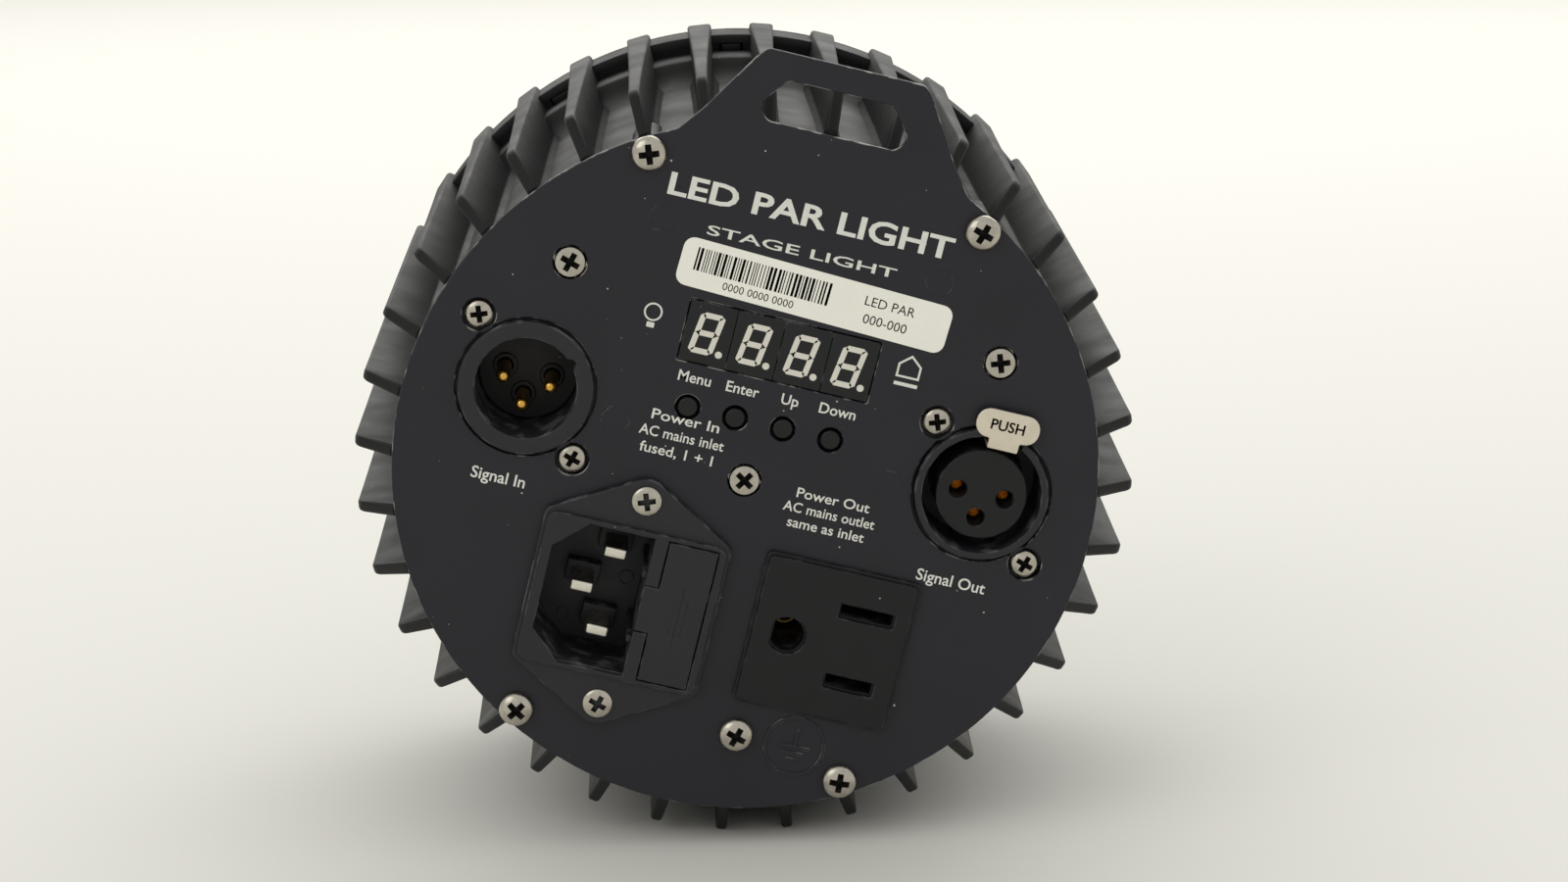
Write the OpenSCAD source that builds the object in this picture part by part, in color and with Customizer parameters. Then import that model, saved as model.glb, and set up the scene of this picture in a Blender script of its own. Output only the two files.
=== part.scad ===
// Compact finned LED par can light, seen from its socket panel.
// The lamp lies on its side on the tips of two neighbouring fins, the only way that it rests by itself,
// with its handle tab leaning to +X. +Z is up, +Y runs along the beam, and the origin is at the bottom
// centre of the whole lamp. Inside lamp() the origin is the centre of the rear panel's outer face, Y is
// depth and Z runs through the handle tab.

/* [Housing] */
// Radius over the fin tips
fin_r = 65.8; // [65.3:0.1:66.5]
// Radius of the moulded shell between the fins
shell_r = 57.8; // [57.6:0.1:58.4]
// Wall of the moulded shell
wall = 2.8; // [2.4:0.1:3.2]
// Fin width at the front
fin_w_front = 4.35; // [3.8:0.05:4.6]
// Fin width at the rear
fin_w_rear = 1.9; // [1.5:0.05:2.4]
// Radius of the front flange
flange_r = 64.5; // [64:0.1:65]
// Depth from the rear panel's face to the front of the bezel
front_y = 80; // [80:0.1:82]

/* [Rear panel] */
// Radius of the round panel
panel_r = 59; // [58.5:0.1:59.4]
// Sheet thickness
panel_t = 1.2; // [1:0.1:1.5]
// Height of the handle tab above the axis
tab_top = 70; // [69:0.5:72]
// Radius of the circle of rim screws
rim_screw_r = 56.3; // [56:0.1:56.6]

/* [Sockets] */
// Centre of the signal-in socket, across and up
xlr_in_at = [-39, 5.9];
// Centre of the signal-out socket, across and up
xlr_out_at = [39.1, 5.7];
// Outside radius of a signal socket's ring
xlr_ring_r = 11.3; // [11:0.1:11.4]
// Centre of the power inlet, across and up
inlet_at = [-15.2, -26.2];
// Centre of the power outlet, across and up
outlet_at = [20.1, -25.2];

/* [Display and buttons] */
// Width of one digit of the display
digit_w = 8.07; // [7.9:0.01:8.1]
// Height of one digit of the display
digit_h = 10.3; // [10:0.1:10.6]
// Middle height of the display above the axis
display_z = 21.6; // [21.2:0.1:22]
// Height of the row of buttons above the axis
button_z = 8.8; // [8.5:0.1:9.2]
// Radius of a button's cap
button_r = 1.7; // [1.6:0.05:1.8]

/* [Optics] */
// Radius of one collimator lens
lens_r = 19; // [17:0.5:19.5]
// Distance of each lens from the axis
lens_at_r = 26; // [25:0.5:27]

/* [Hidden] */
$fn = 64;

fin_count = 36;
fin_pitch = 360 / fin_count;
rest_roll = 1.5 * fin_pitch;   // lean of the handle tab when two fins share the lamp's weight
rear_proud = 2.4;              // how far the inlet's raised face stands behind the panel
mid_y = (front_y - rear_proud) / 2;
flange_front = 77.4;
ledge_y = 73.6;                // rear stop of the glass and its gasket
ledge_r = 57;
glass_r = 59.5;
clip_count = 12;
board_y = 8.2;                 // outer face of the control board
board_t = 1.6;
button_x = [-12.15, -4.05, 4.1, 12.25];
board_screw_at = [[-36.6, 28.1], [36.6, 28.1], [0, -1.25]];
earth_at = [9.1, -44.75];
flange_sq = 26;                // square flange of a signal socket, behind the panel
flange_screw = 10.2;           // signal-socket screw, across and up from the socket's centre
sink_front = 50;               // front face of the heat sink's plate
sink_back = 46;
led_y = sink_front + 1.6;      // face of the LED board
lens_back = led_y + 0.6;
lens_front = 67;
power_y = 32;                  // rear face of the power board
post_at = [[-20, -4], [20, -4], [-20, -42], [20, -42]];
pin_rel = [[-4.05, 0], [4.05, 0], [0, -4.05]];
blade_rel = [[-2.7, 7], [-2.7, -7], [-7, 0]];
sunk_r = 2.8;                  // hole in the panel that a sunk screw head sits in
tip_end = 76.2;                // depth where the fin tips start to round off at the front
// Half a fin's width at a depth in front of its middle
function fin_half(y) = fin_w_front / 2 * (0.78 + 0.22 * (y - 52) / 26);
// Height of the axis when the inner corners of two fin tips touch the surface
axis_z = fin_r * cos(fin_pitch / 2) + fin_half(tip_end) * sin(fin_pitch / 2);

black = "#1b1b1d";
sheet_black = "#22232a";
nickel = "#c9c4b8";
gold = "#c99a3c";
circuit_green = "#1f5a3a";

// ---- general helpers ----
function unit(v) = v / norm(v);
// Points of one outline corner b, rounded to radius r, between its neighbours a and c
function corner(a, b, c, r, n) = r <= 0 ? [b] :
    let (u = unit(a - b), w = unit(c - b), half = acos(u * w) / 2,
        o = b + unit(u + w) * r / sin(half),
        p0 = b + u * r / tan(half) - o, p1 = b + w * r / tan(half) - o,
        a0 = atan2(p0.y, p0.x), turn = (atan2(p1.y, p1.x) - a0 + 540) % 360 - 180)
    [for (i = [0:n]) o + r * [cos(a0 + turn * i / n), sin(a0 + turn * i / n)]];
// Outline whose corners are given as [across, up, corner radius]
function rounded(p, n = 5) = [for (i = [0:len(p) - 1])
    let (a = p[(i + len(p) - 1) % len(p)], b = p[i], c = p[(i + 1) % len(p)])
    each corner([a.x, a.y], [b.x, b.y], [c.x, c.y], b.z, n)];
// Rounded rectangle outline about a centre
function box_outline(at, w, h, r) = rounded([[at.x - w / 2, at.y - h / 2, r],
    [at.x + w / 2, at.y - h / 2, r], [at.x + w / 2, at.y + h / 2, r], [at.x - w / 2, at.y + h / 2, r]]);

module lamp() translate([0, -mid_y, axis_z]) rotate([0, rest_roll, 0]) children();
// Extrudes an outline drawn across and up, from depth y0 to depth y1
module slab(y0, y1) translate([0, y1, 0]) rotate([90, 0, 0]) linear_extrude(y1 - y0) children();
module plate(points, y0, y1) slab(y0, y1) polygon(points);
module disc(r, y0, y1, at = [0, 0]) translate([at.x, y1, at.y]) rotate([90, 0, 0]) cylinder(r = r, h = y1 - y0);
// Turns an outline of [radius, depth] points about the beam axis through a point
module turned(points, at = [0, 0]) translate([at.x, 0, at.y]) rotate([-90, 0, 0]) rotate_extrude() polygon(points);
module block(x0, x1, y0, y1, z0, z1) translate([x0, y0, z0]) cube([x1 - x0, y1 - y0, z1 - z0]);
// Children repeated at an angle about the beam axis, measured from +X towards +Z
module around(a) rotate([0, -a, 0]) children();

// Pan-head cross-recess screw, head seated at depth y, shaft running into the lamp
module pan_screw(at, y, head_r, head_h, shaft_r, length) translate([at.x, y, at.y]) difference() {
    turned(concat([[0, length], [shaft_r - 0.3, length], [shaft_r, length - 0.6], [shaft_r, 0], [head_r, 0]],
        [for (a = [0:18:90]) [head_r - 0.35 + 0.35 * cos(a) - (head_r * 0.55) * (1 - cos(a)) * 0.3,
            -head_h * 0.45 - head_h * 0.55 * sin(a)]], [[0, -head_h]]));
    for (a = [30, 120]) rotate([0, a, 0])
        translate([-head_r * 0.55, -head_h - 1, -head_r * 0.13]) cube([head_r * 1.1, head_h * 0.6 + 1, head_r * 0.26]);
}

// Countersunk cross-recess screw, its head flush with the panel's face
module sunk_screw(at, length) translate([at.x, 0, at.y]) difference() {
    turned([[0, length], [1.25, length], [1.25, 1], [sunk_r - 0.3, -0.1], [sunk_r - 0.6, -0.3], [0, -0.3]]);
    for (a = [20, 110]) rotate([0, a, 0]) translate([-1.5, -1.3, -0.35]) cube([3, 1.9, 0.7]);
}

// Smooth path through hand-set points, with n steps between each pair
function path(p, n = 3) = [for (i = [0:len(p) - 2], k = [0:(i == len(p) - 2 ? n : n - 1)])
    let (a = p[max(i - 1, 0)], b = p[i], c = p[i + 1], d = p[min(i + 2, len(p) - 1)], t = k / n)
    0.5 * (2 * b + t * (c - a) + t * t * (2 * a - 5 * b + 4 * c - d) + t * t * t * (3 * b - a - 3 * c + d))];
// Directions across a path, each one the last turned as little as the path's bend allows
function carried(along, across, i = 0) = i >= len(along) ? [] :
    let (kept = unit(across - (across * along[i]) * along[i])) concat([kept], carried(along, kept, i + 1));
// Round lead swept along a path through the points, eight-sided
module lead(points, d) {
    way = path(points);
    sides = 8;
    last = len(way) - 1;
    along = [for (i = [0:last]) unit(way[min(i + 1, last)] - way[max(i - 1, 0)])];
    across = carried(along, [0.8, 0.1, 0.6]);
    rings = [for (i = [0:last]) let (w = cross(along[i], across[i]))
        for (k = [0:sides - 1]) way[i] + d / 2 * (cos(k * 360 / sides) * across[i] + sin(k * 360 / sides) * w)];
    walls = [for (i = [0:last - 1], k = [0:sides - 1])
        let (a = i * sides + k, b = i * sides + (k + 1) % sides) each [[a, b, b + sides], [a, b + sides, a + sides]]];
    ends = [for (k = [1:sides - 2]) each [[0, k + 1, k], [last * sides, last * sides + k, last * sides + k + 1]]];
    polyhedron(rings, concat(walls, ends));
}

// ---- housing ----
module fin() {
    side = rounded([[shell_r - 1.2, 1.3, 0], [59, 1.3, 0], [fin_r, 7.4, 3], [fin_r, 77.2, 1], [60.2, 77.2, 0],
        [60.2, 62, 0], [shell_r - 1.2, 54, 0]]);
    half_f = fin_w_front / 2;
    half_r = fin_w_rear / 2;
    taper = [[half_r, 0], [half_r, 7], [half_r * 1.13, 24], [fin_half(52), 52], [fin_half(78), 78]];
    intersection() {
        translate([0, 0, -half_f - 1]) linear_extrude(fin_w_front + 2) polygon(side);
        rotate([0, 90, 0]) linear_extrude(fin_r + 1)
            polygon(concat(taper, [for (i = [len(taper) - 1:-1:0]) [-taper[i].x, taper[i].y]]));
    }
}

module housing_shell() color(black) lamp() difference() {
    union() {
        turned([[shell_r - wall, 1.2], [shell_r, 1.2], [shell_r, 53], [shell_r + 0.5, 55.6],
            [shell_r + 1.6, 57.8], [shell_r + 3, 59.2], [61.7, 60.2], [61.7, 70], [flange_r - 0.3, 70],
            [flange_r, 70.5], [flange_r, flange_front], [glass_r + 0.3, flange_front],
            [glass_r + 0.3, ledge_y], [ledge_r, ledge_y], [ledge_r, 71.6], [58.9, 71.6], [58.9, 61],
            [shell_r - wall, 54]]);
        for (k = [0:fin_count - 1]) around(k * fin_pitch) fin();
        for (a = [60, 120, 240, 300]) disc(2.9, 1.2, 14, rim_screw_r * [cos(a), sin(a)]);
        for (a = [90, 210, 330]) around(a) {
            disc(3.2, 30, sink_back, [51.5, 0]);
            block(51.5, 56, 30, sink_back, -1.2, 1.2);
        }
    }
    for (a = [60, 120, 240, 300]) disc(1.4, 1, 12, rim_screw_r * [cos(a), sin(a)]);
    for (a = [90, 210, 330]) around(a) disc(1.35, 34, sink_back + 1, [51.5, 0]);
    for (k = [0:clip_count - 1]) around(15 + k * 30) block(60.6, 63, 68.5, 78, -2.1, 2.1);
}

module front_bezel() color(black) lamp() {
    turned([[57.2, flange_front + 0.1], [flange_r, flange_front + 0.1], [flange_r, 79], [flange_r - 0.4, 79.7],
        [flange_r - 1.2, front_y], [58.6, front_y], [57.2, front_y - 0.8]]);
    for (k = [0:clip_count - 1]) around(15 + k * 30) {
        block(61.0, 62.2, 69.6, 78, -1.8, 1.8);
        block(62.1, 62.8, 69.0, 70.2, -1.8, 1.8);
        block(61.0, 62.2, 69.0, 70.2, -1.8, 1.8);
    }
}

module glass_gasket() color("#2c2c2c") lamp()
    turned([[ledge_r, ledge_y], [glass_r, ledge_y], [glass_r, ledge_y + 0.8], [ledge_r, ledge_y + 0.8]]);

module front_glass() color("#cfe0e6", 0.4) lamp()
    turned([[0, ledge_y + 0.8], [glass_r - 0.4, ledge_y + 0.8], [glass_r, ledge_y + 1.2],
        [glass_r, flange_front - 0.4], [glass_r - 0.4, flange_front], [0, flange_front]]);

// ---- optics ----
function lens_at(i) = lens_at_r * [cos(90 + i * 120), sin(90 + i * 120)];
function post_between(i) = 44 * [cos(30 + i * 120), sin(30 + i * 120)];

module lens_plate() color(black) lamp() difference() {
    disc(56.4, lens_front - 1.2, lens_front + 0.8);
    for (i = [0:2]) {
        disc(lens_r - 1, lens_front - 2, lens_front + 2, lens_at(i));
        disc(lens_r + 0.2, lens_front - 2, lens_front, lens_at(i));
        disc(1.7, lens_front - 2, lens_front + 2, post_between(i));
    }
}

module collimator_lens(i) color("#dfe6ea", 0.6) lamp()
    turned([[0, lens_back + 4.2], [3, lens_back + 3.4], [3.4, lens_back], [5.2, lens_back],
        [9.5, lens_back + 4], [13, lens_back + 7.8], [16, lens_back + 12], [17.3, lens_front - 1],
        [lens_r, lens_front - 1], [lens_r, lens_front], [0, lens_front]], lens_at(i));
module collimator_lens_1() collimator_lens(0);
module collimator_lens_2() collimator_lens(1);
module collimator_lens_3() collimator_lens(2);

module led_emitter(i) color("#e9d9a0") lamp() {
    at = lens_at(i);
    block(at.x - 2.2, at.x + 2.2, led_y, led_y + 0.9, at.y - 2.2, at.y + 2.2);
    turned([for (a = [0:15:90]) [1.9 * cos(a), led_y + 0.8 + 1.5 * sin(a)], [0, led_y + 0.8]], at);
}
module led_emitter_1() led_emitter(0);
module led_emitter_2() led_emitter(1);
module led_emitter_3() led_emitter(2);

module led_board() color("#e8e8e4") lamp() difference() {
    disc(35, sink_front, led_y);
    for (i = [0:2]) disc(1.6, sink_front - 1, led_y + 1, 31 * [cos(30 + i * 120), sin(30 + i * 120)]);
    block(-3, 3, sink_front - 1, led_y + 1, -3, 3);
}

module heat_sink() color("silver") lamp() difference() {
    union() {
        disc(54.5, sink_back, sink_front);
        for (s = [-1, 1], x = [32, 39, 46]) block(s * x - 0.8, s * x + 0.8, 36, sink_back + 0.5, -20, 22);
    }
    for (a = [90, 210, 330]) around(a) disc(1.7, sink_back - 1, sink_front + 1, [51.5, 0]);
    for (i = [0:2]) disc(1.35, sink_front - 3, sink_front + 1, post_between(i));
    block(-3, 3, sink_back - 1, sink_front + 1, -3, 3);
}

module heat_sink_screws() color(nickel) lamp() for (a = [90, 210, 330]) {
    disc(1.3, 38, sink_front + 1, 51.5 * [cos(a), sin(a)]);
    disc(2.6, sink_front, sink_front + 1.8, 51.5 * [cos(a), sin(a)]);
}

module lens_plate_posts() color("silver") lamp() for (i = [0:2]) difference() {
    translate([post_between(i).x, lens_front - 1.3, post_between(i).y]) rotate([90, 0, 0])
        cylinder(r = 3, h = lens_front - 1.3 - sink_front, $fn = 6);
    disc(1.35, lens_front - 8, lens_front, post_between(i));
}

module lens_plate_screws() color(nickel) lamp() for (i = [0:2]) {
    disc(1.3, lens_front - 7, lens_front + 1, post_between(i));
    disc(2.7, lens_front + 0.9, lens_front + 2.6, post_between(i));
}

// ---- rear panel ----
tab_outline = rounded([[24.5, 53.7, 3], [21.2, 58.0, 1], [14.9, 68.0, 2.4], [13.2, tab_top, 1.6],
    [-13.2, tab_top, 1.6], [-14.9, 68.0, 2.4], [-21.2, 58.0, 1], [-24.5, 53.7, 3], [0, 40, 0]]);
slot_outline = rounded([[-10.6, 58.4, 1.8], [10.6, 58.4, 1.8], [12.6, 60.6, 1.6], [8.9, 65.6, 1.8],
    [-8.9, 65.6, 1.8], [-12.6, 60.6, 1.6]]);

module panel_holes() {
    plate(slot_outline, -1, 3);
    plate(box_outline([0.4, display_z], 4 * digit_w + 0.3, digit_h + 0.3, 0.2), -1, 3);
    for (x = button_x) disc(2.15, -1, 3, [x, button_z]);
    for (p = board_screw_at) turned([[0, -1], [3.7, -1], [sunk_r, 0], [1.4, panel_t], [1.4, 3], [0, 3]], p);
    for (a = [60, 120, 240, 300]) disc(1.6, -1, 3, rim_screw_r * [cos(a), sin(a)]);
    disc(1.6, -1, 3, earth_at);
    for (at = [xlr_in_at, xlr_out_at]) {
        disc(xlr_ring_r + 0.45, -1, 3, at);
        for (s = [-1, 1]) disc(sunk_r, -1, 3, at + s * [-flange_screw, flange_screw]);
    }
    block(xlr_out_at.x - 3.6, xlr_out_at.x + 6, -1, 3, xlr_out_at.y + 9, xlr_out_at.y + 12.4);
    plate(box_outline(inlet_at, 30, 25.6, 1), -1, 3);
    for (s = [-1, 1]) disc(1.5, -1, 3, inlet_at + [0.1, s * 18.1]);
    plate(box_outline(outlet_at, 25, 25.2, 1), -1, 3);
}

module rear_panel() color(sheet_black) lamp() difference() {
    union() {
        disc(panel_r, 0, panel_t);
        plate(tab_outline, 0, panel_t);
    }
    panel_holes();
}

module rim_screws() color(nickel) lamp() for (a = [60, 120, 240, 300])
    pan_screw(rim_screw_r * [cos(a), sin(a)], 0, 2.95, 2.1, 1.35, 10);

module earth_screw() color(nickel) lamp() pan_screw(earth_at, 0, 2.95, 2.1, 1.5, 9);
module earth_nut() color(nickel) lamp() difference() {
    union() {
        translate([earth_at.x, panel_t + 5, earth_at.y]) rotate([90, 0, 0]) cylinder(r = 3.1, h = 2.4, $fn = 6);
        disc(3.4, panel_t, panel_t + 0.6, earth_at);
        disc(3.3, panel_t + 0.7, panel_t + 1.5, earth_at);
        block(earth_at.x - 9, earth_at.x, panel_t + 0.7, panel_t + 1.5, earth_at.y - 1.5, earth_at.y + 1.5);
    }
    disc(1.55, 0, 9, earth_at);
}

module board_screws() color(nickel) lamp() for (p = board_screw_at) sunk_screw(p, 5);

module board_standoffs() color("silver") lamp() for (p = board_screw_at) difference() {
    translate([p.x, board_y, p.y]) rotate([90, 0, 0]) cylinder(r = 2.9, h = board_y - panel_t, $fn = 6);
    disc(1.3, 0, board_y + 1, p);
}

// ---- signal sockets ----
module flange_holes(at) for (s = [-1, 1]) disc(1.3, 0, 6, at + s * [-flange_screw, flange_screw]);
module flange_screws(at) for (s = [-1, 1])
    pan_screw(at + s * [-flange_screw, flange_screw], panel_t + 0.1, 2.5, 1.5, 1.25, 1.9);
// Ring outline with a rounded lip at the rear face
function ring_lip(r_in, r_out, lip) = [[r_in, -lip + 0.3], [r_in + 0.3, -lip], [r_out - 0.7, -lip],
    [r_out - 0.2, -lip + 0.3], [r_out, -lip + 0.8]];

key_at = 8.3 * [cos(41), sin(41)];   // keyway in the wall of the signal-in cavity
module xlr_in_shell() color(black) lamp() difference() {
    union() {
        turned(concat([[8.45, 20]], ring_lip(8.45, xlr_ring_r, 1), [[xlr_ring_r, 20]]), xlr_in_at);
        difference() {
            plate(box_outline(xlr_in_at, flange_sq, flange_sq, 3), panel_t + 0.1, panel_t + 2.1);
            disc(8.45, 0, 5, xlr_in_at);
        }
    }
    flange_holes(xlr_in_at);
    disc(1, -2, 13, xlr_in_at + key_at);
}
module xlr_in_insert() color(black) lamp() difference() {
    disc(8.4, 13, 19.6, xlr_in_at);
    for (p = pin_rel) disc(1.2, 12, 21, xlr_in_at + p);
}
module xlr_in_pins() color(gold) lamp() for (p = pin_rel)
    turned(concat([for (a = [90:-18:0]) [1.18 * cos(a), 4.6 - 1.18 * sin(a)]],
        [[1.18, 20], [1.4, 20], [1.4, 24], [0, 24]]), xlr_in_at + p);
module xlr_in_screws() color(nickel) lamp() flange_screws(xlr_in_at);

module xlr_out_shell() color(black) lamp() difference() {
    union() {
        turned(concat([[10, 12.5]], ring_lip(10, xlr_ring_r - 0.05, 1), [[xlr_ring_r - 0.05, 20], [8, 20], [8, 12.5]]),
            xlr_out_at);
        difference() {
            plate(box_outline(xlr_out_at, flange_sq, flange_sq, 3), panel_t + 0.1, panel_t + 2.1);
            disc(10, 0, 5, xlr_out_at);
        }
    }
    flange_holes(xlr_out_at);
    block(xlr_out_at.x - 2.2, xlr_out_at.x + 4.6, -2, 6.5, xlr_out_at.y + 7.8, xlr_out_at.y + 12.6);
    latch_pin(0.55, 1.3);
}
module xlr_out_insert() color(black) lamp() difference() {
    union() {
        turned([[0, -0.4], [7.1, -0.4], [7.65, 0.1], [7.65, 12.4], [0, 12.4]], xlr_out_at);
        disc(7.9, 12.3, 19.6, xlr_out_at);
    }
    for (p = pin_rel) disc(1.5, -2, 21, xlr_out_at + p);
}
module xlr_out_contacts() color(gold) lamp() for (p = pin_rel)
    turned([[1.15, 2], [1.45, 2], [1.45, 24], [0, 24], [0, 14], [1.15, 14]], xlr_out_at + p);

latch_at = xlr_out_at + [1.2, 12.6];
latch_pivot = [1, xlr_out_at.y + 10.6];    // depth and height of the latch's pin
module latch_pin(r, reach) translate([latch_at.x - 3.4 - reach, latch_pivot.x, latch_pivot.y]) rotate([0, 90, 0])
    cylinder(r = r, h = 6.8 + 2 * reach);
module xlr_out_latch() color("#b9b4a8") lamp() {
    block(latch_at.x - 2.9, latch_at.x + 2.9, -2, -1.3, latch_at.y - 2.5, latch_at.y + 2.5);
    for (s = [-1, 1]) disc(2.5, -2, -1.3, latch_at + [s * 2.9, 0]);
    block(latch_at.x - 2.6, latch_at.x + 2.6, -2, -1.3, latch_at.y - 3.7, latch_at.y - 2.2);
    block(latch_at.x - 2.6, latch_at.x + 2.6, -2, 4.6, latch_at.y - 4.2, latch_at.y - 3.5);
    block(latch_at.x - 2.6, latch_at.x + 2.6, -1.4, latch_pivot.x, latch_pivot.y - 0.35, latch_pivot.y + 0.35);
    latch_pin(0.5, 1.1);
}
module xlr_out_screws() color(nickel) lamp() flange_screws(xlr_out_at);

// ---- power inlet with its fuse drawer ----
cavity = [[-13.5, -7.3], [-8.1, -12.3], [3, -12.3], [3, 12.3], [-8.1, 12.3], [-13.5, 7.3]];
drawer_x = [5.55, 13.9];
drawer_half = 12.25;
tongue_x = 2.9;
tongue_half = 3.95;

module inlet_place() translate([inlet_at.x, 0, inlet_at.y]) children();
module drawer_shape(grow) {
    block(drawer_x[0] - grow, drawer_x[1] + grow, -3, 20.3 + grow, -drawer_half - grow, drawer_half + grow);
    block(tongue_x - grow, drawer_x[0], -3, 2 + grow, -tongue_half - grow, tongue_half + grow);
}

module inlet_body() color(black) lamp() inlet_place() difference() {
    union() {
        plate(rounded([[0, 22.4, 4], [-16, 13.2, 2], [-16, -13.2, 2], [0, -22.4, 4], [16, -13.2, 2],
            [16, 13.2, 2]]), -1.5, 0);
        plate(box_outline([0, 0], 30.7, 26.4, 2), -rear_proud, 0);
        plate(box_outline([0, 0], 29.6, 25.2, 1), -0.1, 23);
    }
    difference() {
        plate(cavity, -3, 14.6);
        for (b = blade_rel) block(b.x - 2.9, b.x + 2.9, 11.6, 15, b.y - 1.9, b.y + 1.9);
    }
    for (b = blade_rel) block(b.x - 2, b.x + 2, 0, 24, b.y - 1, b.y + 1);
    drawer_shape(0.2);
    for (s = [-1, 1]) disc(1.4, -3, 1, [0.1, s * 18.1]);
}
module inlet_blades() color("#d8d2c0") lamp() inlet_place() for (b = blade_rel) {
    plate(rounded([[b.x - 2, b.y - 1, 0], [b.x + 2, b.y - 1, 0], [b.x + 2, b.y + 1, 0], [b.x - 2, b.y + 1, 0]]),
        3.2, 27);
    plate([[b.x - 1.5, b.y - 0.6], [b.x + 1.5, b.y - 0.6], [b.x + 1.5, b.y + 0.6], [b.x - 1.5, b.y + 0.6]], 2.6, 3.3);
}
module inlet_screws() color(nickel) lamp() inlet_place() for (s = [-1, 1])
    pan_screw([0.1, s * 18.1], -1.5, 2.5, 0.8, 1.35, 6);

fuse_x = (drawer_x[0] + drawer_x[1]) / 2 - 0.6;
module fuse_tube(y) translate([fuse_x, y, -10]) {
    cylinder(r = 2.4, h = 20);
    cylinder(r = 2.6, h = 5);
    translate([0, 0, 15]) cylinder(r = 2.6, h = 5);
}
module fuse_drawer() color(black) lamp() inlet_place() difference() {
    intersection() {
        drawer_shape(0);
        block(-20, 20, -rear_proud, 21, -20, 20);
    }
    for (y = [6.5, 15]) block(drawer_x[0] - 1, fuse_x + 2.9, y - 2.9, y + 2.9, -10.4, 10.4);
    block(drawer_x[0] - 1, fuse_x - 1.2, 12, 22, -13, -8);
    block(drawer_x[0] - 1, fuse_x - 1.2, 12, 22, 8, 13);
}
module fuse() color("#d9dde0") lamp() inlet_place() fuse_tube(15);
module spare_fuse() color("#d9dde0") lamp() inlet_place() fuse_tube(6.5);
module fuse_contacts() color("#c9a75a") lamp() inlet_place() for (s = [-1, 1])
    block(4.0, 5.2, 23, 27, s * 9.5 - 2, s * 9.5 + 2);

// ---- power outlet ----
slot_rel = [[5.4, 6.1, 9], [5.3, -6.4, 8]];
ground_rel = [-6.9, -0.2];
module ground_hole(y0, y1, r) intersection() {
    disc(r, y0, y1, ground_rel);
    block(ground_rel.x - r + 0.5, ground_rel.x + r, y0, y1, -20, 20);
}
module outlet_body() color(black) lamp() translate([outlet_at.x, 0, outlet_at.y]) difference() {
    union() {
        plate(box_outline([0, 0], 26.7, 26.9, 1), -0.9, 0);
        plate(box_outline([0, 0], 25.7, 25.9, 0.8), -1.6, -0.8);
        plate(box_outline([0, 0], 24.6, 24.8, 0.8), -0.1, 20);
    }
    for (s = slot_rel) {
        block(s.x - s.z / 2, s.x + s.z / 2, -3, 18, s.y - 1, s.y + 1);
        block(s.x - 3.6, s.x + 3.6, 17, 21, s.y - 0.5, s.y + 0.5);
    }
    ground_hole(-3, 18, 3.05);
    block(ground_rel.x - 1.7, ground_rel.x + 1.7, 17, 21, ground_rel.y - 1.6, ground_rel.y + 1.6);
}
module outlet_contacts() color("#c9a75a") lamp() translate([outlet_at.x, 0, outlet_at.y]) {
    for (s = slot_rel) block(s.x - 3.5, s.x + 3.5, 12, 24, s.y - 0.4, s.y + 0.4);
    block(ground_rel.x - 1.6, ground_rel.x + 1.6, 14, 24, ground_rel.y - 1.5, ground_rel.y + 1.5);
}

// ---- display, buttons and control board ----
function digit_x(i) = 0.4 + (i - 1.5) * digit_w;
// Segment bars of one digit: centre across, centre up, length, and 1 when upright
seg_w = 0.95;
glyph = [4.2, 7.1];
lean = tan(8);
segments = [[0, 1, 0], [0, 0, 0], [0, -1, 0], [-1, 0.5, 1], [1, 0.5, 1], [-1, -0.5, 1], [1, -0.5, 1]];
function lean_by(p) = [p.x + p.y * lean, p.y];
module segment(s) {
    half = s.z == 1 ? glyph.y / 4 - 0.35 : glyph.x / 2 - 0.75;
    tip = seg_w / 2;
    mid = [s.x * (glyph.x / 2 - tip) - 0.25, s.y * (glyph.y / 2 - tip)];
    bar = [[-half, -tip], [half, -tip], [half + tip * 0.7, 0], [half, tip], [-half, tip], [-half - tip * 0.7, 0]];
    plate([for (p = bar) lean_by(mid + (s.z == 1 ? [p.y, p.x] : p))], 0.1, 0.6);
}
module display_digit(i) color("#1d1d1f") lamp() difference() {
    block(digit_x(i) - digit_w / 2 + 0.04, digit_x(i) + digit_w / 2 - 0.04, 0.1, board_y,
        display_z - digit_h / 2, display_z + digit_h / 2);
    translate([digit_x(i), 0, display_z]) {
        for (s = segments) segment(s);
        disc(0.62, 0, 0.6, [glyph.x / 2 + 0.35, -glyph.y / 2 + 0.5]);
    }
}
module display_digit_1() display_digit(0);
module display_digit_2() display_digit(1);
module display_digit_3() display_digit(2);
module display_digit_4() display_digit(3);
module display_segments() color("#d9d6c4") lamp() for (i = [0:3]) translate([digit_x(i), 0, display_z]) {
    for (s = segments) segment(s);
    disc(0.62, 0.1, 0.6, [glyph.x / 2 + 0.35, -glyph.y / 2 + 0.5]);
}

module button(i) color("#151516") lamp() {
    at = [button_x[i], button_z];
    turned([[0, -0.1], [button_r - 0.4, -0.1], [button_r, 0.3], [button_r, 4.85], [0, 4.85]], at);
}
module button_menu() button(0);
module button_enter() button(1);
module button_up() button(2);
module button_down() button(3);

module switch_bodies() color("#2a2a2c") lamp() for (x = button_x) difference() {
    block(x - 3, x + 3, 4.8, board_y, button_z - 3, button_z + 3);
    disc(1.95, 4, 5.4, [x, button_z]);
}

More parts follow.
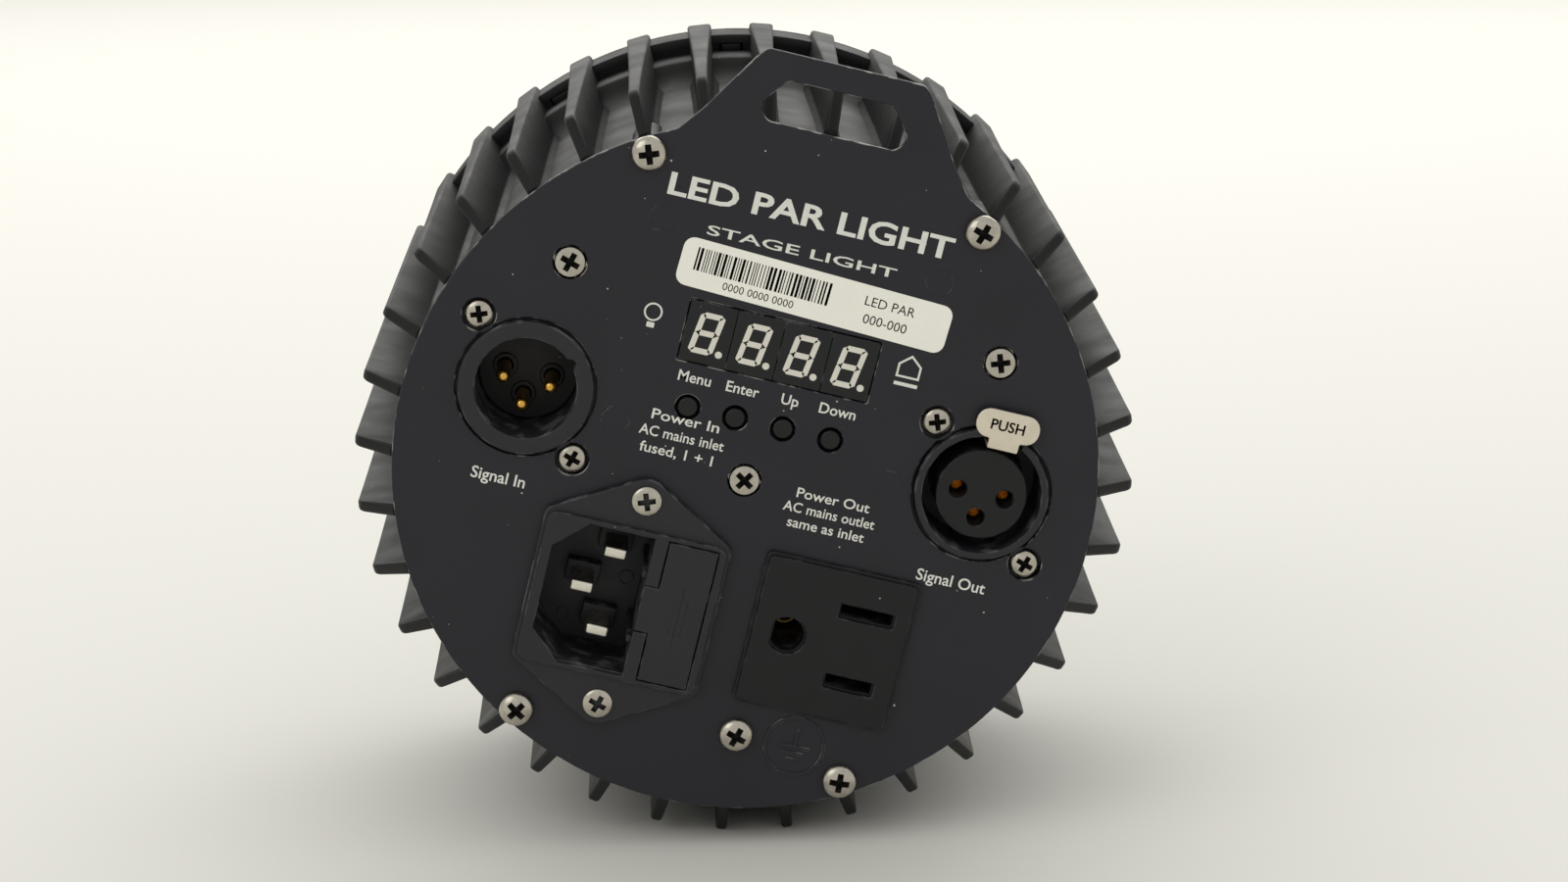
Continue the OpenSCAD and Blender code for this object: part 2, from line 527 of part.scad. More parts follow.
board_outline = rounded([[-41, 24, 1], [-25, 24, 1], [-25, -5, 1], [25, -5, 1], [25, 24, 1], [41, 24, 1],
    [41, 33, 2], [-41, 33, 2]]);
module control_board() color(circuit_green) lamp() difference() {
    plate(board_outline, board_y, board_y + board_t);
    for (p = board_screw_at) disc(1.3, board_y - 1, board_y + 3, p);
}
module controller_chips() color("#202022") lamp() {
    y = board_y + board_t;
    block(-9, 9, y, y + 1.8, 12, 22);
    block(-21, -14, y, y + 1.6, 4, 9);
    block(12, 17, y, y + 1.6, 3, 8);
    block(-34, -26, y, y + 5, 25.5, 31.5);
    block(16, 26, y, y + 5, 25.5, 31.5);
    disc(3, y, y + 4, [20, 16]);
}

// ---- power supply ----
module power_board() color(circuit_green) lamp() difference() {
    plate(rounded([[-25, -46, 3], [25, -46, 3], [25, 0, 1], [-25, 0, 1]]), power_y, power_y + board_t);
    for (p = post_at) disc(1.6, power_y - 1, power_y + 3, p);
}
module power_board_posts() color("#c9a75a") lamp() for (p = post_at) union() {
    translate([p.x, sink_back, p.y]) rotate([90, 0, 0])
        cylinder(r = 2.3, h = sink_back - power_y - board_t, $fn = 6);
    disc(1.5, power_y - 0.1, power_y + board_t + 0.1, p);
    disc(2.6, power_y - 1.6, power_y, p);
}
module transformer() color("#4a4b50") lamp() {
    front = power_y + board_t;
    block(-12, 12, front + 1.2, front + 10, -36, -20);
    block(-9, 9, front, front + 11.4, -38, -18);
}
module capacitors() color("#2b3a66") lamp() {
    front = power_y + board_t;
    disc(5, front, front + 11, [-18, -15]);
    disc(4, front, front + 11, [17.5, -14]);
    disc(4, front, front + 9, [18, -25]);
    block(14, 22, front, front + 9, -37.5, -31);
}

// ---- leads ----
module mains_leads() color("#8a3b2a") lamp() {
    lead([[-17.9, 27.5, -19.2], [-17.9, 28.9, -18.9], [-17.2, 29.8, -16.6], [-14.6, 29.9, -10],
        [-12.5, 30, -7.4], [-12, 31.2, -6.2]], 1.6);
    lead([[-17.9, 27.5, -33.2], [-18, 28.9, -33.5], [-18.6, 29.8, -35.6], [-17.9, 29.9, -38.8],
        [-16.3, 30.1, -40.4], [-16, 31.2, -41.2]], 1.6);
    lead([[-10.6, 27.7, -35.7], [-10.2, 28.9, -35.7], [-8, 29.6, -36.2], [-2, 29.4, -37], [12, 29.2, -37],
        [22, 28.2, -34], [24.9, 26.8, -32.1], [25.4, 24.4, -31.6]], 1.6);
    lead([[-10.6, 27.7, -16.7], [-10.2, 28.9, -16.5], [-8, 29.6, -15.4], [0, 29.2, -12], [16, 28.6, -13],
        [23.4, 27.7, -16.6], [25.3, 26.4, -18.6], [25.5, 24.4, -19.1]], 1.6);
    lead([[2, 3, -44.8], [2, 8, -44.6], [2, 15, -44], [3, 21.5, -43.5], [6.6, 25.2, -42], [11, 26.6, -37],
        [13, 26.8, -31], [13.2, 26.4, -27.2], [13.2, 24.6, -25.4]], 1.6);
}
module led_leads() color("#b33a3a") lamp() for (x = [-1.3, 1.3])
    lead([[x, 33.9, -3], [x, 35.5, -3], [x, 40, -1], [x, 48, 0], [x, 52, 0.5], [x * 2.5, 52.8, 3],
        [x * 4, 52.7, 6]], 1.6);
// Lead from a signal contact at q, up past x = by, to x = to on the control board's plug
module signal_lead(q, by, to) lead([[q.x, 24.3, q.y], [q.x, 25.6, q.y + 0.4],
    [q.x * 0.8 + by * 0.2, 26.3, q.y + 4], [by, 25, 20], [to, 17.6, 28.2], [to, 15.2, 28.5]], 0.9);
module signal_leads() color("#3a6fb3") lamp() {
    for (p = pin_rel) {
        signal_lead(xlr_in_at + p, -36 + p.x / 2, -30 + p.x / 3);
        signal_lead(xlr_out_at + p, 34 + p.x / 2, 21 + p.x / 3);
    }
    lead([[8, 10, 4], [8, 13, 3.5], [8, 22, 2], [8, 29, -1], [8, 31.6, -2]], 1.1);
}

// ---- label ----
module label_sticker() color("#e9e7dd") lamp() translate([3.8, 0, 32.1]) rotate([0, 2.1, 0])
    plate(box_outline([0, 0], 46, 8.2, 1.8), -0.12, 0);

housing_shell();
front_bezel();
glass_gasket();
front_glass();
lens_plate();
collimator_lens_1();
collimator_lens_2();
collimator_lens_3();
led_emitter_1();
led_emitter_2();
led_emitter_3();
led_board();
heat_sink();
heat_sink_screws();
lens_plate_posts();
lens_plate_screws();
rear_panel();
rim_screws();
earth_screw();
earth_nut();
board_screws();
board_standoffs();
xlr_in_shell();
xlr_in_insert();
xlr_in_pins();
xlr_in_screws();
xlr_out_shell();
xlr_out_insert();
xlr_out_contacts();
xlr_out_latch();
xlr_out_screws();
inlet_body();
inlet_blades();
inlet_screws();
fuse_drawer();
fuse();
spare_fuse();
fuse_contacts();
outlet_body();
outlet_contacts();
display_digit_1();
display_digit_2();
display_digit_3();
display_digit_4();
display_segments();
button_menu();
button_enter();
button_up();
button_down();
switch_bodies();
control_board();
controller_chips();
power_board();
power_board_posts();
transformer();
capacitors();
mains_leads();
led_leads();
signal_leads();
label_sticker();
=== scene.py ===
"""Looks of a compact finned LED par can light, built around its packed frame.

Geometry is written in millimetres in the lamp's own frame: X across, Y depth into the lamp, Z to the
handle tab, with the origin at the centre of the rear panel's outer face. LAMP carries it to the frame's
metres, and leans it as the lamp rests on two of its fins.
"""
import math
import random

import bmesh
import bpy
from bpy.props import FloatProperty, FloatVectorProperty, IntProperty, PointerProperty, StringProperty
from mathutils import Matrix, Vector


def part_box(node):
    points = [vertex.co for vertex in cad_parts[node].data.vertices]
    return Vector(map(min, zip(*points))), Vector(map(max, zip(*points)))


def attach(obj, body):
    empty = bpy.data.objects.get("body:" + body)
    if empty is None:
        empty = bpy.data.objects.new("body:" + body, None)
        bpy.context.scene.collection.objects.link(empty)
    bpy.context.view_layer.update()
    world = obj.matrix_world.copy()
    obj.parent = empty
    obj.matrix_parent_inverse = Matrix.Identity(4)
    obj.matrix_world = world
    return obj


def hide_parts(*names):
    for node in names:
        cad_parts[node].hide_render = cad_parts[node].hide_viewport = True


bl_info = {
    "name": "LED par can light",
    "version": (1, 0, 0),
    "blender": (4, 5, 0),
    "location": "View3D > Sidebar > Par light",
    "description": "Builds the visible pieces and finishes of a compact LED par can light",
    "category": "Object",
}

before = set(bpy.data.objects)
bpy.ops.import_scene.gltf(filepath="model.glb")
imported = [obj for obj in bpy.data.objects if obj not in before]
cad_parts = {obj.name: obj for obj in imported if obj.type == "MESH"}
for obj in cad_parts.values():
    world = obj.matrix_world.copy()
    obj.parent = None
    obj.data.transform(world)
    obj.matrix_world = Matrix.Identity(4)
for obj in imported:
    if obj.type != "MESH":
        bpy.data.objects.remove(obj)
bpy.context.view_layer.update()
FACE_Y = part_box("rear_panel")[0].y
AXIS_Z = sum(corner.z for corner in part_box("front_glass")) / 2


def lean():
    """How far the lamp leans about its beam, from the line of its display's digits."""
    first, last = (sum(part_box(f"display_digit_{i}"), Vector()) / 2 for i in (1, 4))
    return math.atan2(first.z - last.z, last.x - first.x)


LAMP = Matrix.Translation((0, FACE_Y, AXIS_Z)) @ Matrix.Rotation(lean(), 4, "Y") @ Matrix.Scale(0.001, 4)
SEED = 7


def lamp_box(name):
    """Lowest and highest corner of a frame node, in the lamp's millimetres."""
    corners = [LAMP.inverted() @ vertex.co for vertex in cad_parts[name].data.vertices]
    return [Vector([pick(c[axis] for c in corners) for axis in range(3)]) for pick in (min, max)]


def centre_of(name):
    """Middle of a frame node across and up, in the lamp's millimetres."""
    low, high = lamp_box(name)
    return ((low.x + high.x) / 2, (low.z + high.z) / 2)


XLR_IN, XLR_OUT = centre_of("xlr_in_insert"), centre_of("xlr_out_insert")
INLET, OUTLET = centre_of("inlet_body"), centre_of("outlet_body")
EARTH = centre_of("earth_screw")
BUTTONS = {name: centre_of("button_" + name) for name in ("menu", "enter", "up", "down")}
DIGITS = [lamp_box(f"display_digit_{i}") for i in range(1, 5)]
FIN_TIP = lamp_box("housing_shell")[1].x
FLANGE_FRONT = lamp_box("housing_shell")[1].y
BEZEL_FRONT = lamp_box("front_bezel")[1].y
PANEL_R = lamp_box("rear_panel")[1].x
TAB_TOP = lamp_box("rear_panel")[1].z
PANEL_T = lamp_box("rear_panel")[1].y
BOARD_SCREWS = [(-36.6, 28.1), (36.6, 28.1), (0, -1.25)]
PIN_PLACES = [(-4.05, 0), (4.05, 0), (0, -4.05)]
BLADE_PLACES = [(-2.7, 7), (-2.7, -7), (-7, 0)]
FLANGE_SCREW = 10.2


# ---- colour and materials ----
def hex_colour(code):
    """Linear red, green, blue and alpha of an sRGB hex colour."""
    channels = [int(code[i:i + 2], 16) / 255 for i in (1, 3, 5)]
    return [c / 12.92 if c <= 0.04045 else ((c + 0.055) / 1.055) ** 2.4 for c in channels] + [1.0]


def node(tree, kind, inputs=None, **settings):
    """Adds a node. Inputs are values, or sockets to link from, by name or number."""
    made = tree.nodes.new(kind)
    for key, value in settings.items():
        setattr(made, key, value)
    for key, value in (inputs or {}).items():
        if isinstance(value, bpy.types.NodeSocket):
            tree.links.new(value, made.inputs[key])
        else:
            made.inputs[key].default_value = value
    return made


def surface(name, colour, roughness, metallic=0.0, ior=1.5, cloud=(6.0, 0.12), grain=(0.4, 0.01), dust=0.0,
            worn=None, coat=0.0, seen_through=0.0, shine=0.5):
    """A finish from its base colour and gloss, with the unevenness that the real one has.

    cloud is (size in mm, strength) of slow changes in colour and gloss, grain is (size in mm, height
    in mm) of the surface's relief, dust is the share of loose specks, worn is the colour that shows
    where edges have rubbed through, and shine is how strongly the skin mirrors.
    """
    material = bpy.data.materials.new(name)
    material.use_nodes = True
    tree = material.node_tree
    shader = tree.nodes["Principled BSDF"]
    place = node(tree, "ShaderNodeTexCoord").outputs["Object"]
    clouds = node(tree, "ShaderNodeTexNoise", {"Vector": place, "Scale": 1000 / cloud[0], "Detail": 4.0})
    low = [c * (1 - cloud[1]) for c in colour[:3]] + [1.0]
    high = [min(1.0, c * (1 + cloud[1]) + 0.02 * cloud[1]) for c in colour[:3]] + [1.0]
    shade = node(tree, "ShaderNodeMix", {"Factor": clouds.outputs["Fac"], "A": low, "B": high},
                 data_type="RGBA").outputs["Result"]
    gloss = node(tree, "ShaderNodeMapRange", {
        "Value": clouds.outputs["Fac"], "From Min": 0.3, "From Max": 0.7,
        "To Min": max(0.03, roughness * (1 - cloud[1])), "To Max": min(1.0, roughness * (1 + cloud[1]))},
    ).outputs["Result"]
    if worn is not None:
        facing = node(tree, "ShaderNodeSeparateXYZ", {
            "Vector": node(tree, "ShaderNodeNewGeometry").outputs["Normal"]}).outputs["Y"]
        edge = node(tree, "ShaderNodeMapRange", {
            "Value": node(tree, "ShaderNodeMath", {0: facing}, operation="ABSOLUTE").outputs[0],
            "From Min": 0.97, "From Max": 0.75}).outputs["Result"]
        rub = node(tree, "ShaderNodeTexNoise", {"Vector": place, "Scale": 1000 / 3.0, "Detail": 6.0})
        rubbed = node(tree, "ShaderNodeMapRange", {
            "Value": rub.outputs["Fac"], "From Min": 0.5, "From Max": 0.6, "To Max": 0.85}).outputs["Result"]
        bare = node(tree, "ShaderNodeMath", {0: edge, 1: rubbed}, operation="MULTIPLY").outputs[0]
        shade = node(tree, "ShaderNodeMix", {"Factor": bare, "A": shade, "B": worn},
                     data_type="RGBA").outputs["Result"]
    if dust > 0:
        # loose dust lies as specks of a few tenths of a millimetre, of many sizes
        cells = node(tree, "ShaderNodeTexVoronoi", {"Vector": place, "Scale": 1000 / 2.2})
        chance = node(tree, "ShaderNodeSeparateColor", {"Color": cells.outputs["Color"]}).outputs["Red"]
        reach = node(tree, "ShaderNodeMath", {0: chance, 1: 7.0}, operation="POWER").outputs[0]
        size = node(tree, "ShaderNodeMath", {0: reach, 1: 0.085 * dust}, operation="MULTIPLY").outputs[0]
        speck = node(tree, "ShaderNodeMath", {0: cells.outputs["Distance"], 1: size},
                     operation="LESS_THAN").outputs[0]
        shade = node(tree, "ShaderNodeMix", {"Factor": speck, "A": shade, "B": hex_colour("#b4b1a8")},
                     data_type="RGBA").outputs["Result"]
    tree.links.new(shade, shader.inputs["Base Color"])
    tree.links.new(gloss, shader.inputs["Roughness"])
    relief = node(tree, "ShaderNodeTexNoise", {"Vector": place, "Scale": 1000 / grain[0], "Detail": 2.0})
    bump = node(tree, "ShaderNodeBump", {"Height": relief.outputs["Fac"], "Strength": 1.0,
                                         "Distance": grain[1] * 0.001})
    tree.links.new(bump.outputs["Normal"], shader.inputs["Normal"])
    shader.inputs["Metallic"].default_value = metallic
    shader.inputs["IOR"].default_value = ior
    shader.inputs["Coat Weight"].default_value = coat
    shader.inputs["Transmission Weight"].default_value = seen_through
    shader.inputs["Specular IOR Level"].default_value = shine
    return material


def make_materials(look):
    """Every finish of the lamp, by the name that the pieces ask for."""
    steel_grey = hex_colour("#9b9a96")
    return {
        # spark-eroded mould texture scatters light, so the black stays deep until it faces the sky
        "abs": surface("ABS moulded satin black", look.housing_colour, 0.5, cloud=(9, 0.14),
                       grain=(0.5, 0.006), dust=0.6, shine=0.22),
        # powder coat melts to a fine orange peel about 0.8 mm across, and rubs through at sheared edges
        "coat": surface("Powder coated steel", look.panel_colour, 0.46, cloud=(14, 0.16),
                        grain=(0.8, 0.014), dust=1.0, worn=steel_grey, shine=0.3),
        # barrel plating over a rolled thread: warm pale metal, soft from handling
        "nickel": surface("Nickel plated steel", hex_colour("#b5b0a5"), 0.24, metallic=1.0, cloud=(1.2, 0.3),
                          grain=(0.3, 0.006)),
        # painted shade: a screw's cross recess is painted nearly black for the shade that falls in it
        "recess_shade": surface("Painted shade in a screw recess", hex_colour("#14130f"), 0.75, cloud=(0.6, 0.3),
                         grain=(0.3, 0.01), shine=0.2),
        # glass fibres leave the moulded skin slightly dull and grey
        "nylon": surface("Glass filled nylon moulded", look.socket_colour, 0.46, cloud=(5, 0.16),
                         grain=(0.35, 0.010), dust=0.7, worn=hex_colour("#56565a"), shine=0.32),
        "dark_nylon": surface("Nylon moulded deep black", hex_colour("#131316"), 0.44, cloud=(4, 0.15),
                              grain=(0.35, 0.008), dust=0.8, worn=hex_colour("#3c3c40"), shine=0.28),
        "gold": surface("Gold plated brass turned", hex_colour("#d9ab52"), 0.22, metallic=1.0, cloud=(1, 0.15),
                        grain=(0.2, 0.002)),
        "tin": surface("Tin plated brass stamped", hex_colour("#dcd8cc"), 0.3, metallic=1.0, cloud=(1.5, 0.15),
                       grain=(0.3, 0.004)),
        "brass": surface("Brass stamped", hex_colour("#c9a75a"), 0.32, metallic=1.0, cloud=(1.5, 0.2),
                         grain=(0.3, 0.004)),
        # nickel on a pressed tab, dulled by thumbs until it is nearly cream
        "latch": surface("Nickel plated tab worn", hex_colour("#d9d1c0"), 0.38, metallic=0.75,
                         cloud=(1.6, 0.12), grain=(0.3, 0.006)),
        "resin": surface("Display resin cast", hex_colour("#17171a"), 0.3, cloud=(3, 0.1), grain=(0.6, 0.003),
                         dust=0.7, worn=hex_colour("#8c8c90"), shine=0.3),
        "segment": surface("Diffuser resin cast", hex_colour("#d8d6cb"), 0.5, cloud=(1.2, 0.05),
                           grain=(0.3, 0.002)),
        "button": surface("ABS moulded button", hex_colour("#0f0f11"), 0.36, cloud=(1.5, 0.15),
                          grain=(0.3, 0.004), shine=0.3),
        # pad printing lays a thin matt film that breaks up a little over the orange peel
        "ink": surface("Pad print ink", look.ink_colour, 0.6, cloud=(0.8, 0.12), grain=(0.3, 0.004)),
        "faint_ink": surface("Pad print ink rubbed", hex_colour("#8b8b8c"), 0.6, cloud=(0.8, 0.2),
                             grain=(0.3, 0.004)),
        "label": surface("Vinyl label printed", look.label_colour, 0.48, cloud=(5, 0.03), grain=(0.7, 0.004)),
        "label_ink": surface("Thermal print", hex_colour("#2a2a2c"), 0.55, cloud=(0.8, 0.1),
                             grain=(0.3, 0.002)),
        "glass": surface("Float glass", hex_colour("#f2f7f5"), 0.03, ior=1.52, cloud=(20, 0.02),
                         grain=(8, 0.0005), seen_through=1.0),
        "acrylic": surface("Acrylic moulded", hex_colour("#f4f6f6"), 0.08, ior=1.49, cloud=(6, 0.02),
                           grain=(1.6, 0.12), seen_through=0.9),
        "rubber": surface("EPDM rubber moulded", hex_colour("#242424"), 0.7, cloud=(4, 0.1),
                          grain=(0.5, 0.01)),
        "phosphor": surface("Phosphor silicone cast", hex_colour("#e3c84e"), 0.35, cloud=(0.8, 0.1),
                            grain=(0.3, 0.004), coat=0.4),
        "white_mask": surface("Solder mask white", hex_colour("#e8e8e2"), 0.4, cloud=(8, 0.04),
                              grain=(0.6, 0.004)),
        "green_mask": surface("Solder mask green over FR4", hex_colour("#1f5a3a"), 0.35, cloud=(2.5, 0.25),
                              grain=(0.5, 0.008)),
        "aluminium": surface("Aluminium extruded", hex_colour("#b9bbbd"), 0.36, metallic=1.0, cloud=(4, 0.1),
                             grain=(0.4, 0.006)),
        "chip": surface("Epoxy moulded chip", hex_colour("#202022"), 0.5, cloud=(1.5, 0.12),
                        grain=(0.3, 0.006)),
        "ferrite": surface("Ferrite sintered", hex_colour("#4a4b50"), 0.55, cloud=(2, 0.2), grain=(0.4, 0.02)),
        "sleeve": surface("PET shrink sleeve", hex_colour("#2b3a66"), 0.3, cloud=(3, 0.1), grain=(0.6, 0.004)),
        "red_pvc": surface("PVC extruded red", hex_colour("#b33a3a"), 0.4, cloud=(3, 0.1), grain=(0.5, 0.006)),
        "brown_pvc": surface("PVC extruded brown", hex_colour("#7a3a28"), 0.4, cloud=(3, 0.1),
                             grain=(0.5, 0.006)),
        "blue_pvc": surface("PVC extruded blue", hex_colour("#3a6fb3"), 0.4, cloud=(3, 0.1),
                            grain=(0.5, 0.006)),
        "fuse_glass": surface("Fuse glass tube", hex_colour("#dfe6e4"), 0.08, cloud=(4, 0.04),
                              grain=(2, 0.001), seen_through=0.5),
    }


def finish(name):
    """The material of that name, made once."""
    if not FINISHES:
        FINISHES.update(make_materials(bpy.context.scene.par_light_look))
    return FINISHES[name]


FINISHES = {}


# ---- outlines ----
def rounded(corners, steps=5):
    """Outline with each corner (across, up, radius) turned to an arc."""
    points = []
    for i, (x, z, radius) in enumerate(corners):
        here = Vector((x, z))
        before = (Vector(corners[i - 1][:2]) - here).normalized()
        after = (Vector(corners[(i + 1) % len(corners)][:2]) - here).normalized()
        if radius <= 0:
            points.append(here)
            continue
        half = before.angle(after) / 2
        middle = here + (before + after).normalized() * radius / math.sin(half)
        start = here + before * radius / math.tan(half) - middle
        end = here + after * radius / math.tan(half) - middle
        turn = start.angle_signed(end)
        for k in range(steps + 1):
            points.append(middle + Matrix.Rotation(-turn * k / steps, 2) @ start)
    return points


def rectangle(at, width, height, radius):
    """Rounded rectangle outline about a centre."""
    x, z, w, h = at[0], at[1], width / 2, height / 2
    return rounded([(x - w, z - h, radius), (x + w, z - h, radius), (x + w, z + h, radius),
                    (x - w, z + h, radius)])


def circle(at, radius, steps=64):
    """Round outline about a centre."""
    return [Vector((at[0] + radius * math.cos(t), at[1] + radius * math.sin(t)))
            for t in (2 * math.pi * k / steps for k in range(steps))]


def moved(points, by):
    """Outline shifted across and up."""
    return [Vector(p) + Vector(by) for p in points]


# ---- solids, all added to a bmesh in the lamp's millimetres ----
def add_mesh(bm, mesh, matrix=None):
    """Adds a mesh to bm through a matrix, and frees it."""
    if matrix is not None:
        mesh.transform(matrix)
    bm.from_mesh(mesh)
    bpy.data.meshes.remove(mesh)


def from_curve(curve):
    """Mesh of a curve, which is freed."""
    holder = bpy.data.objects.new("outline", curve)
    bpy.context.scene.collection.objects.link(holder)
    mesh = bpy.data.meshes.new_from_object(holder.evaluated_get(bpy.context.evaluated_depsgraph_get()))
    bpy.data.objects.remove(holder)
    bpy.data.curves.remove(curve)
    return mesh


FACING_REAR = Matrix.Rotation(math.pi / 2, 4, "X")


def add_plate(bm, outline, y0, y1, holes=(), bevel=0.2, steps=2):
    """Plate of an outline across and up between two depths, with holes and softened edges."""
    curve = bpy.data.curves.new("outline", "CURVE")
    curve.dimensions, curve.fill_mode = "2D", "BOTH"
    for points in (outline, *holes):
        spline = curve.splines.new("POLY")
        spline.points.add(len(points) - 1)
        for point, (x, z) in zip(spline.points, points):
            point.co = (x, z, 0, 1)
        spline.use_cyclic_u = True
    curve.extrude = (y1 - y0) / 2 - bevel
    curve.bevel_depth, curve.offset, curve.bevel_resolution = bevel, -bevel, steps
    add_mesh(bm, from_curve(curve), Matrix.Translation((0, (y0 + y1) / 2, 0)) @ FACING_REAR)


def add_block(bm, low, high, bevel=0.2, steps=2):
    """Block between two corners with softened edges."""
    size = [b - a for a, b in zip(low, high)]
    middle = [(a + b) / 2 for a, b in zip(low, high)]
    made = bmesh.ops.create_cube(bm, size=1, matrix=Matrix.LocRotScale(middle, None, size))
    edges = list({e for v in made["verts"] for e in v.link_edges})
    bmesh.ops.bevel(bm, geom=edges, offset=bevel, segments=steps, affect="EDGES", profile=0.5)


def add_turned(bm, profile, at=(0, 0), steps=64, closed=True):
    """Solid turned from a profile of (radius, depth) points about the beam axis through a point."""
    rings = []
    for radius, depth in profile:
        if radius <= 1e-6:
            rings.append([bm.verts.new((at[0], depth, at[1]))])
            continue
        rings.append([bm.verts.new((at[0] + radius * math.cos(t), depth, at[1] + radius * math.sin(t)))
                      for t in (2 * math.pi * k / steps for k in range(steps))])
    pairs = list(zip(rings, rings[1:]))
    if closed and len(rings[0]) > 1 and len(rings[-1]) > 1:
        pairs.append((rings[-1], rings[0]))
    for a, b in pairs:
        for k in range(steps):
            corners = [a[k % len(a)], a[(k + 1) % len(a)], b[(k + 1) % len(b)], b[k % len(b)]]
            corners = list(dict.fromkeys(corners))
            if len(corners) > 2:
                bm.faces.new(corners)


def soft_profile(corners, steps=4):
    """Profile of (radius, depth, corner radius) points with its corners turned to arcs."""
    return [tuple(p) for p in rounded(corners, steps)]


def add_text(bm, words, at, height, y=-0.03, y_back=0.005, bold=0.0, angle=0.0, spacing=1.0, shear=0.0,
             width=None):
    """Words in the built-in typeface, centred on a point, with capitals of the given height."""
    curve = bpy.data.curves.new("words", "FONT")
    curve.body, curve.align_x, curve.align_y = words, "CENTER", "CENTER"
    curve.size = height / 0.7
    curve.extrude = (y_back - y) / 2
    curve.offset, curve.space_character, curve.shear = bold, spacing, shear
    curve.resolution_u = 3
    mesh = from_curve(curve)
    across = max(v.co.x for v in mesh.vertices) - min(v.co.x for v in mesh.vertices)
    stretch = width / across if width else 1.0
    add_mesh(bm, mesh, Matrix.Translation((at[0], (y + y_back) / 2, at[1]))
             @ Matrix.Rotation(math.radians(angle), 4, "Y") @ FACING_REAR
             @ Matrix.Diagonal((stretch, 1, 1, 1)))


def add_piece(name, bm, materials, body="root", stands_for=(), sharp=32.0, cut=None):
    """Makes a piece from bm, gives it its finish and lets it ride on a body."""
    bmesh.ops.recalc_face_normals(bm, faces=bm.faces)
    mesh = bpy.data.meshes.new(name)
    bm.to_mesh(mesh)
    bm.free()
    if cut is not None:
        mesh = carved(mesh, cut)
        mesh.name = name
    mesh.transform(LAMP)
    mesh.materials.clear()
    for material in materials:
        mesh.materials.append(finish(material))
    mesh.polygons.foreach_set("use_smooth", [True] * len(mesh.polygons))
    mesh.set_sharp_from_angle(angle=math.radians(sharp))
    piece = bpy.data.objects.new(name, mesh)
    bpy.context.scene.collection.objects.link(piece)
    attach(piece, body)
    if stands_for:
        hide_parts(*stands_for)
    return piece


def carved(mesh, cutter_bm):
    """Mesh with a cutter taken away from it."""
    bmesh.ops.recalc_face_normals(cutter_bm, faces=cutter_bm.faces)
    cutter_mesh = bpy.data.meshes.new("cutter")
    cutter_bm.to_mesh(cutter_mesh)
    cutter_bm.free()
    whole, cutter = (bpy.data.objects.new(n, m) for n, m in (("whole", mesh), ("cutter", cutter_mesh)))
    for made in (whole, cutter):
        bpy.context.scene.collection.objects.link(made)
    boolean = whole.modifiers.new("carve", "BOOLEAN")
    boolean.operation, boolean.object, boolean.solver = "DIFFERENCE", cutter, "EXACT"
    result = bpy.data.meshes.new_from_object(whole.evaluated_get(bpy.context.evaluated_depsgraph_get()))
    for made in (whole, cutter):
        bpy.data.objects.remove(made)
    for old in (mesh, cutter_mesh):
        bpy.data.meshes.remove(old)
    if not result.polygons:
        raise RuntimeError("carving left nothing")
    return result


# ---- settings ----
class ParLightLook(bpy.types.PropertyGroup):
    """Colours of the lamp."""

    housing_colour: FloatVectorProperty(name="Housing", description="Colour of the moulded housing",
                                        subtype="COLOR", size=4, default=hex_colour("#0d0d0f"))
    panel_colour: FloatVectorProperty(name="Panel", description="Colour of the rear panel's powder coat",
                                      subtype="COLOR", size=4, default=hex_colour("#1f1f26"))
    socket_colour: FloatVectorProperty(name="Sockets", description="Colour of the moulded sockets",
                                       subtype="COLOR", size=4, default=hex_colour("#222227"))
    ink_colour: FloatVectorProperty(name="Print", description="Colour of the printed words",
                                    subtype="COLOR", size=4, default=hex_colour("#dcdcd6"))
    label_colour: FloatVectorProperty(name="Label", description="Colour of the vinyl label",
                                      subtype="COLOR", size=4, default=hex_colour("#f0efe6"))


class ParLightHousing(bpy.types.PropertyGroup):
    """Sizes of the finned housing, in millimetres."""

    fin_count: IntProperty(name="Fins", description="Number of cooling fins", default=36, min=12, max=60)
    shell_r: FloatProperty(name="Shell radius", description="Radius between the fins, in mm", default=57.8)
    wall: FloatProperty(name="Wall", description="Thickness of the shell, in mm", default=2.8)
    rear_half: FloatProperty(name="Rear half width", description="Half a fin's width at the rear, in mm",
                             default=0.95)
    front_half: FloatProperty(name="Front half width", description="Half a fin's width at the front, in mm",
                              default=2.175)
    tip_round: FloatProperty(name="Tip rounding", description="Edge radius along a fin's tip, in mm",
                             default=0.55)
    clip_count: IntProperty(name="Clips", description="Number of clip windows for the front ring", default=12)


class ParLightPanel(bpy.types.PropertyGroup):
    """Sizes and words of the rear panel."""

    rim_screw_r: FloatProperty(name="Rim screws", description="Radius of the circle of rim screws, in mm",
                               default=56.3)
    head_r: FloatProperty(name="Screw head", description="Radius of a rim screw's head, in mm", default=2.95)
    edge: FloatProperty(name="Edge", description="Rounding of the sheet's coated edges, in mm", default=0.22)
    title: StringProperty(name="Title", description="Line printed above the label", default="LED PAR LIGHT")
    subtitle: StringProperty(name="Subtitle", description="Small line under the label",
                             default="STAGE LIGHT")


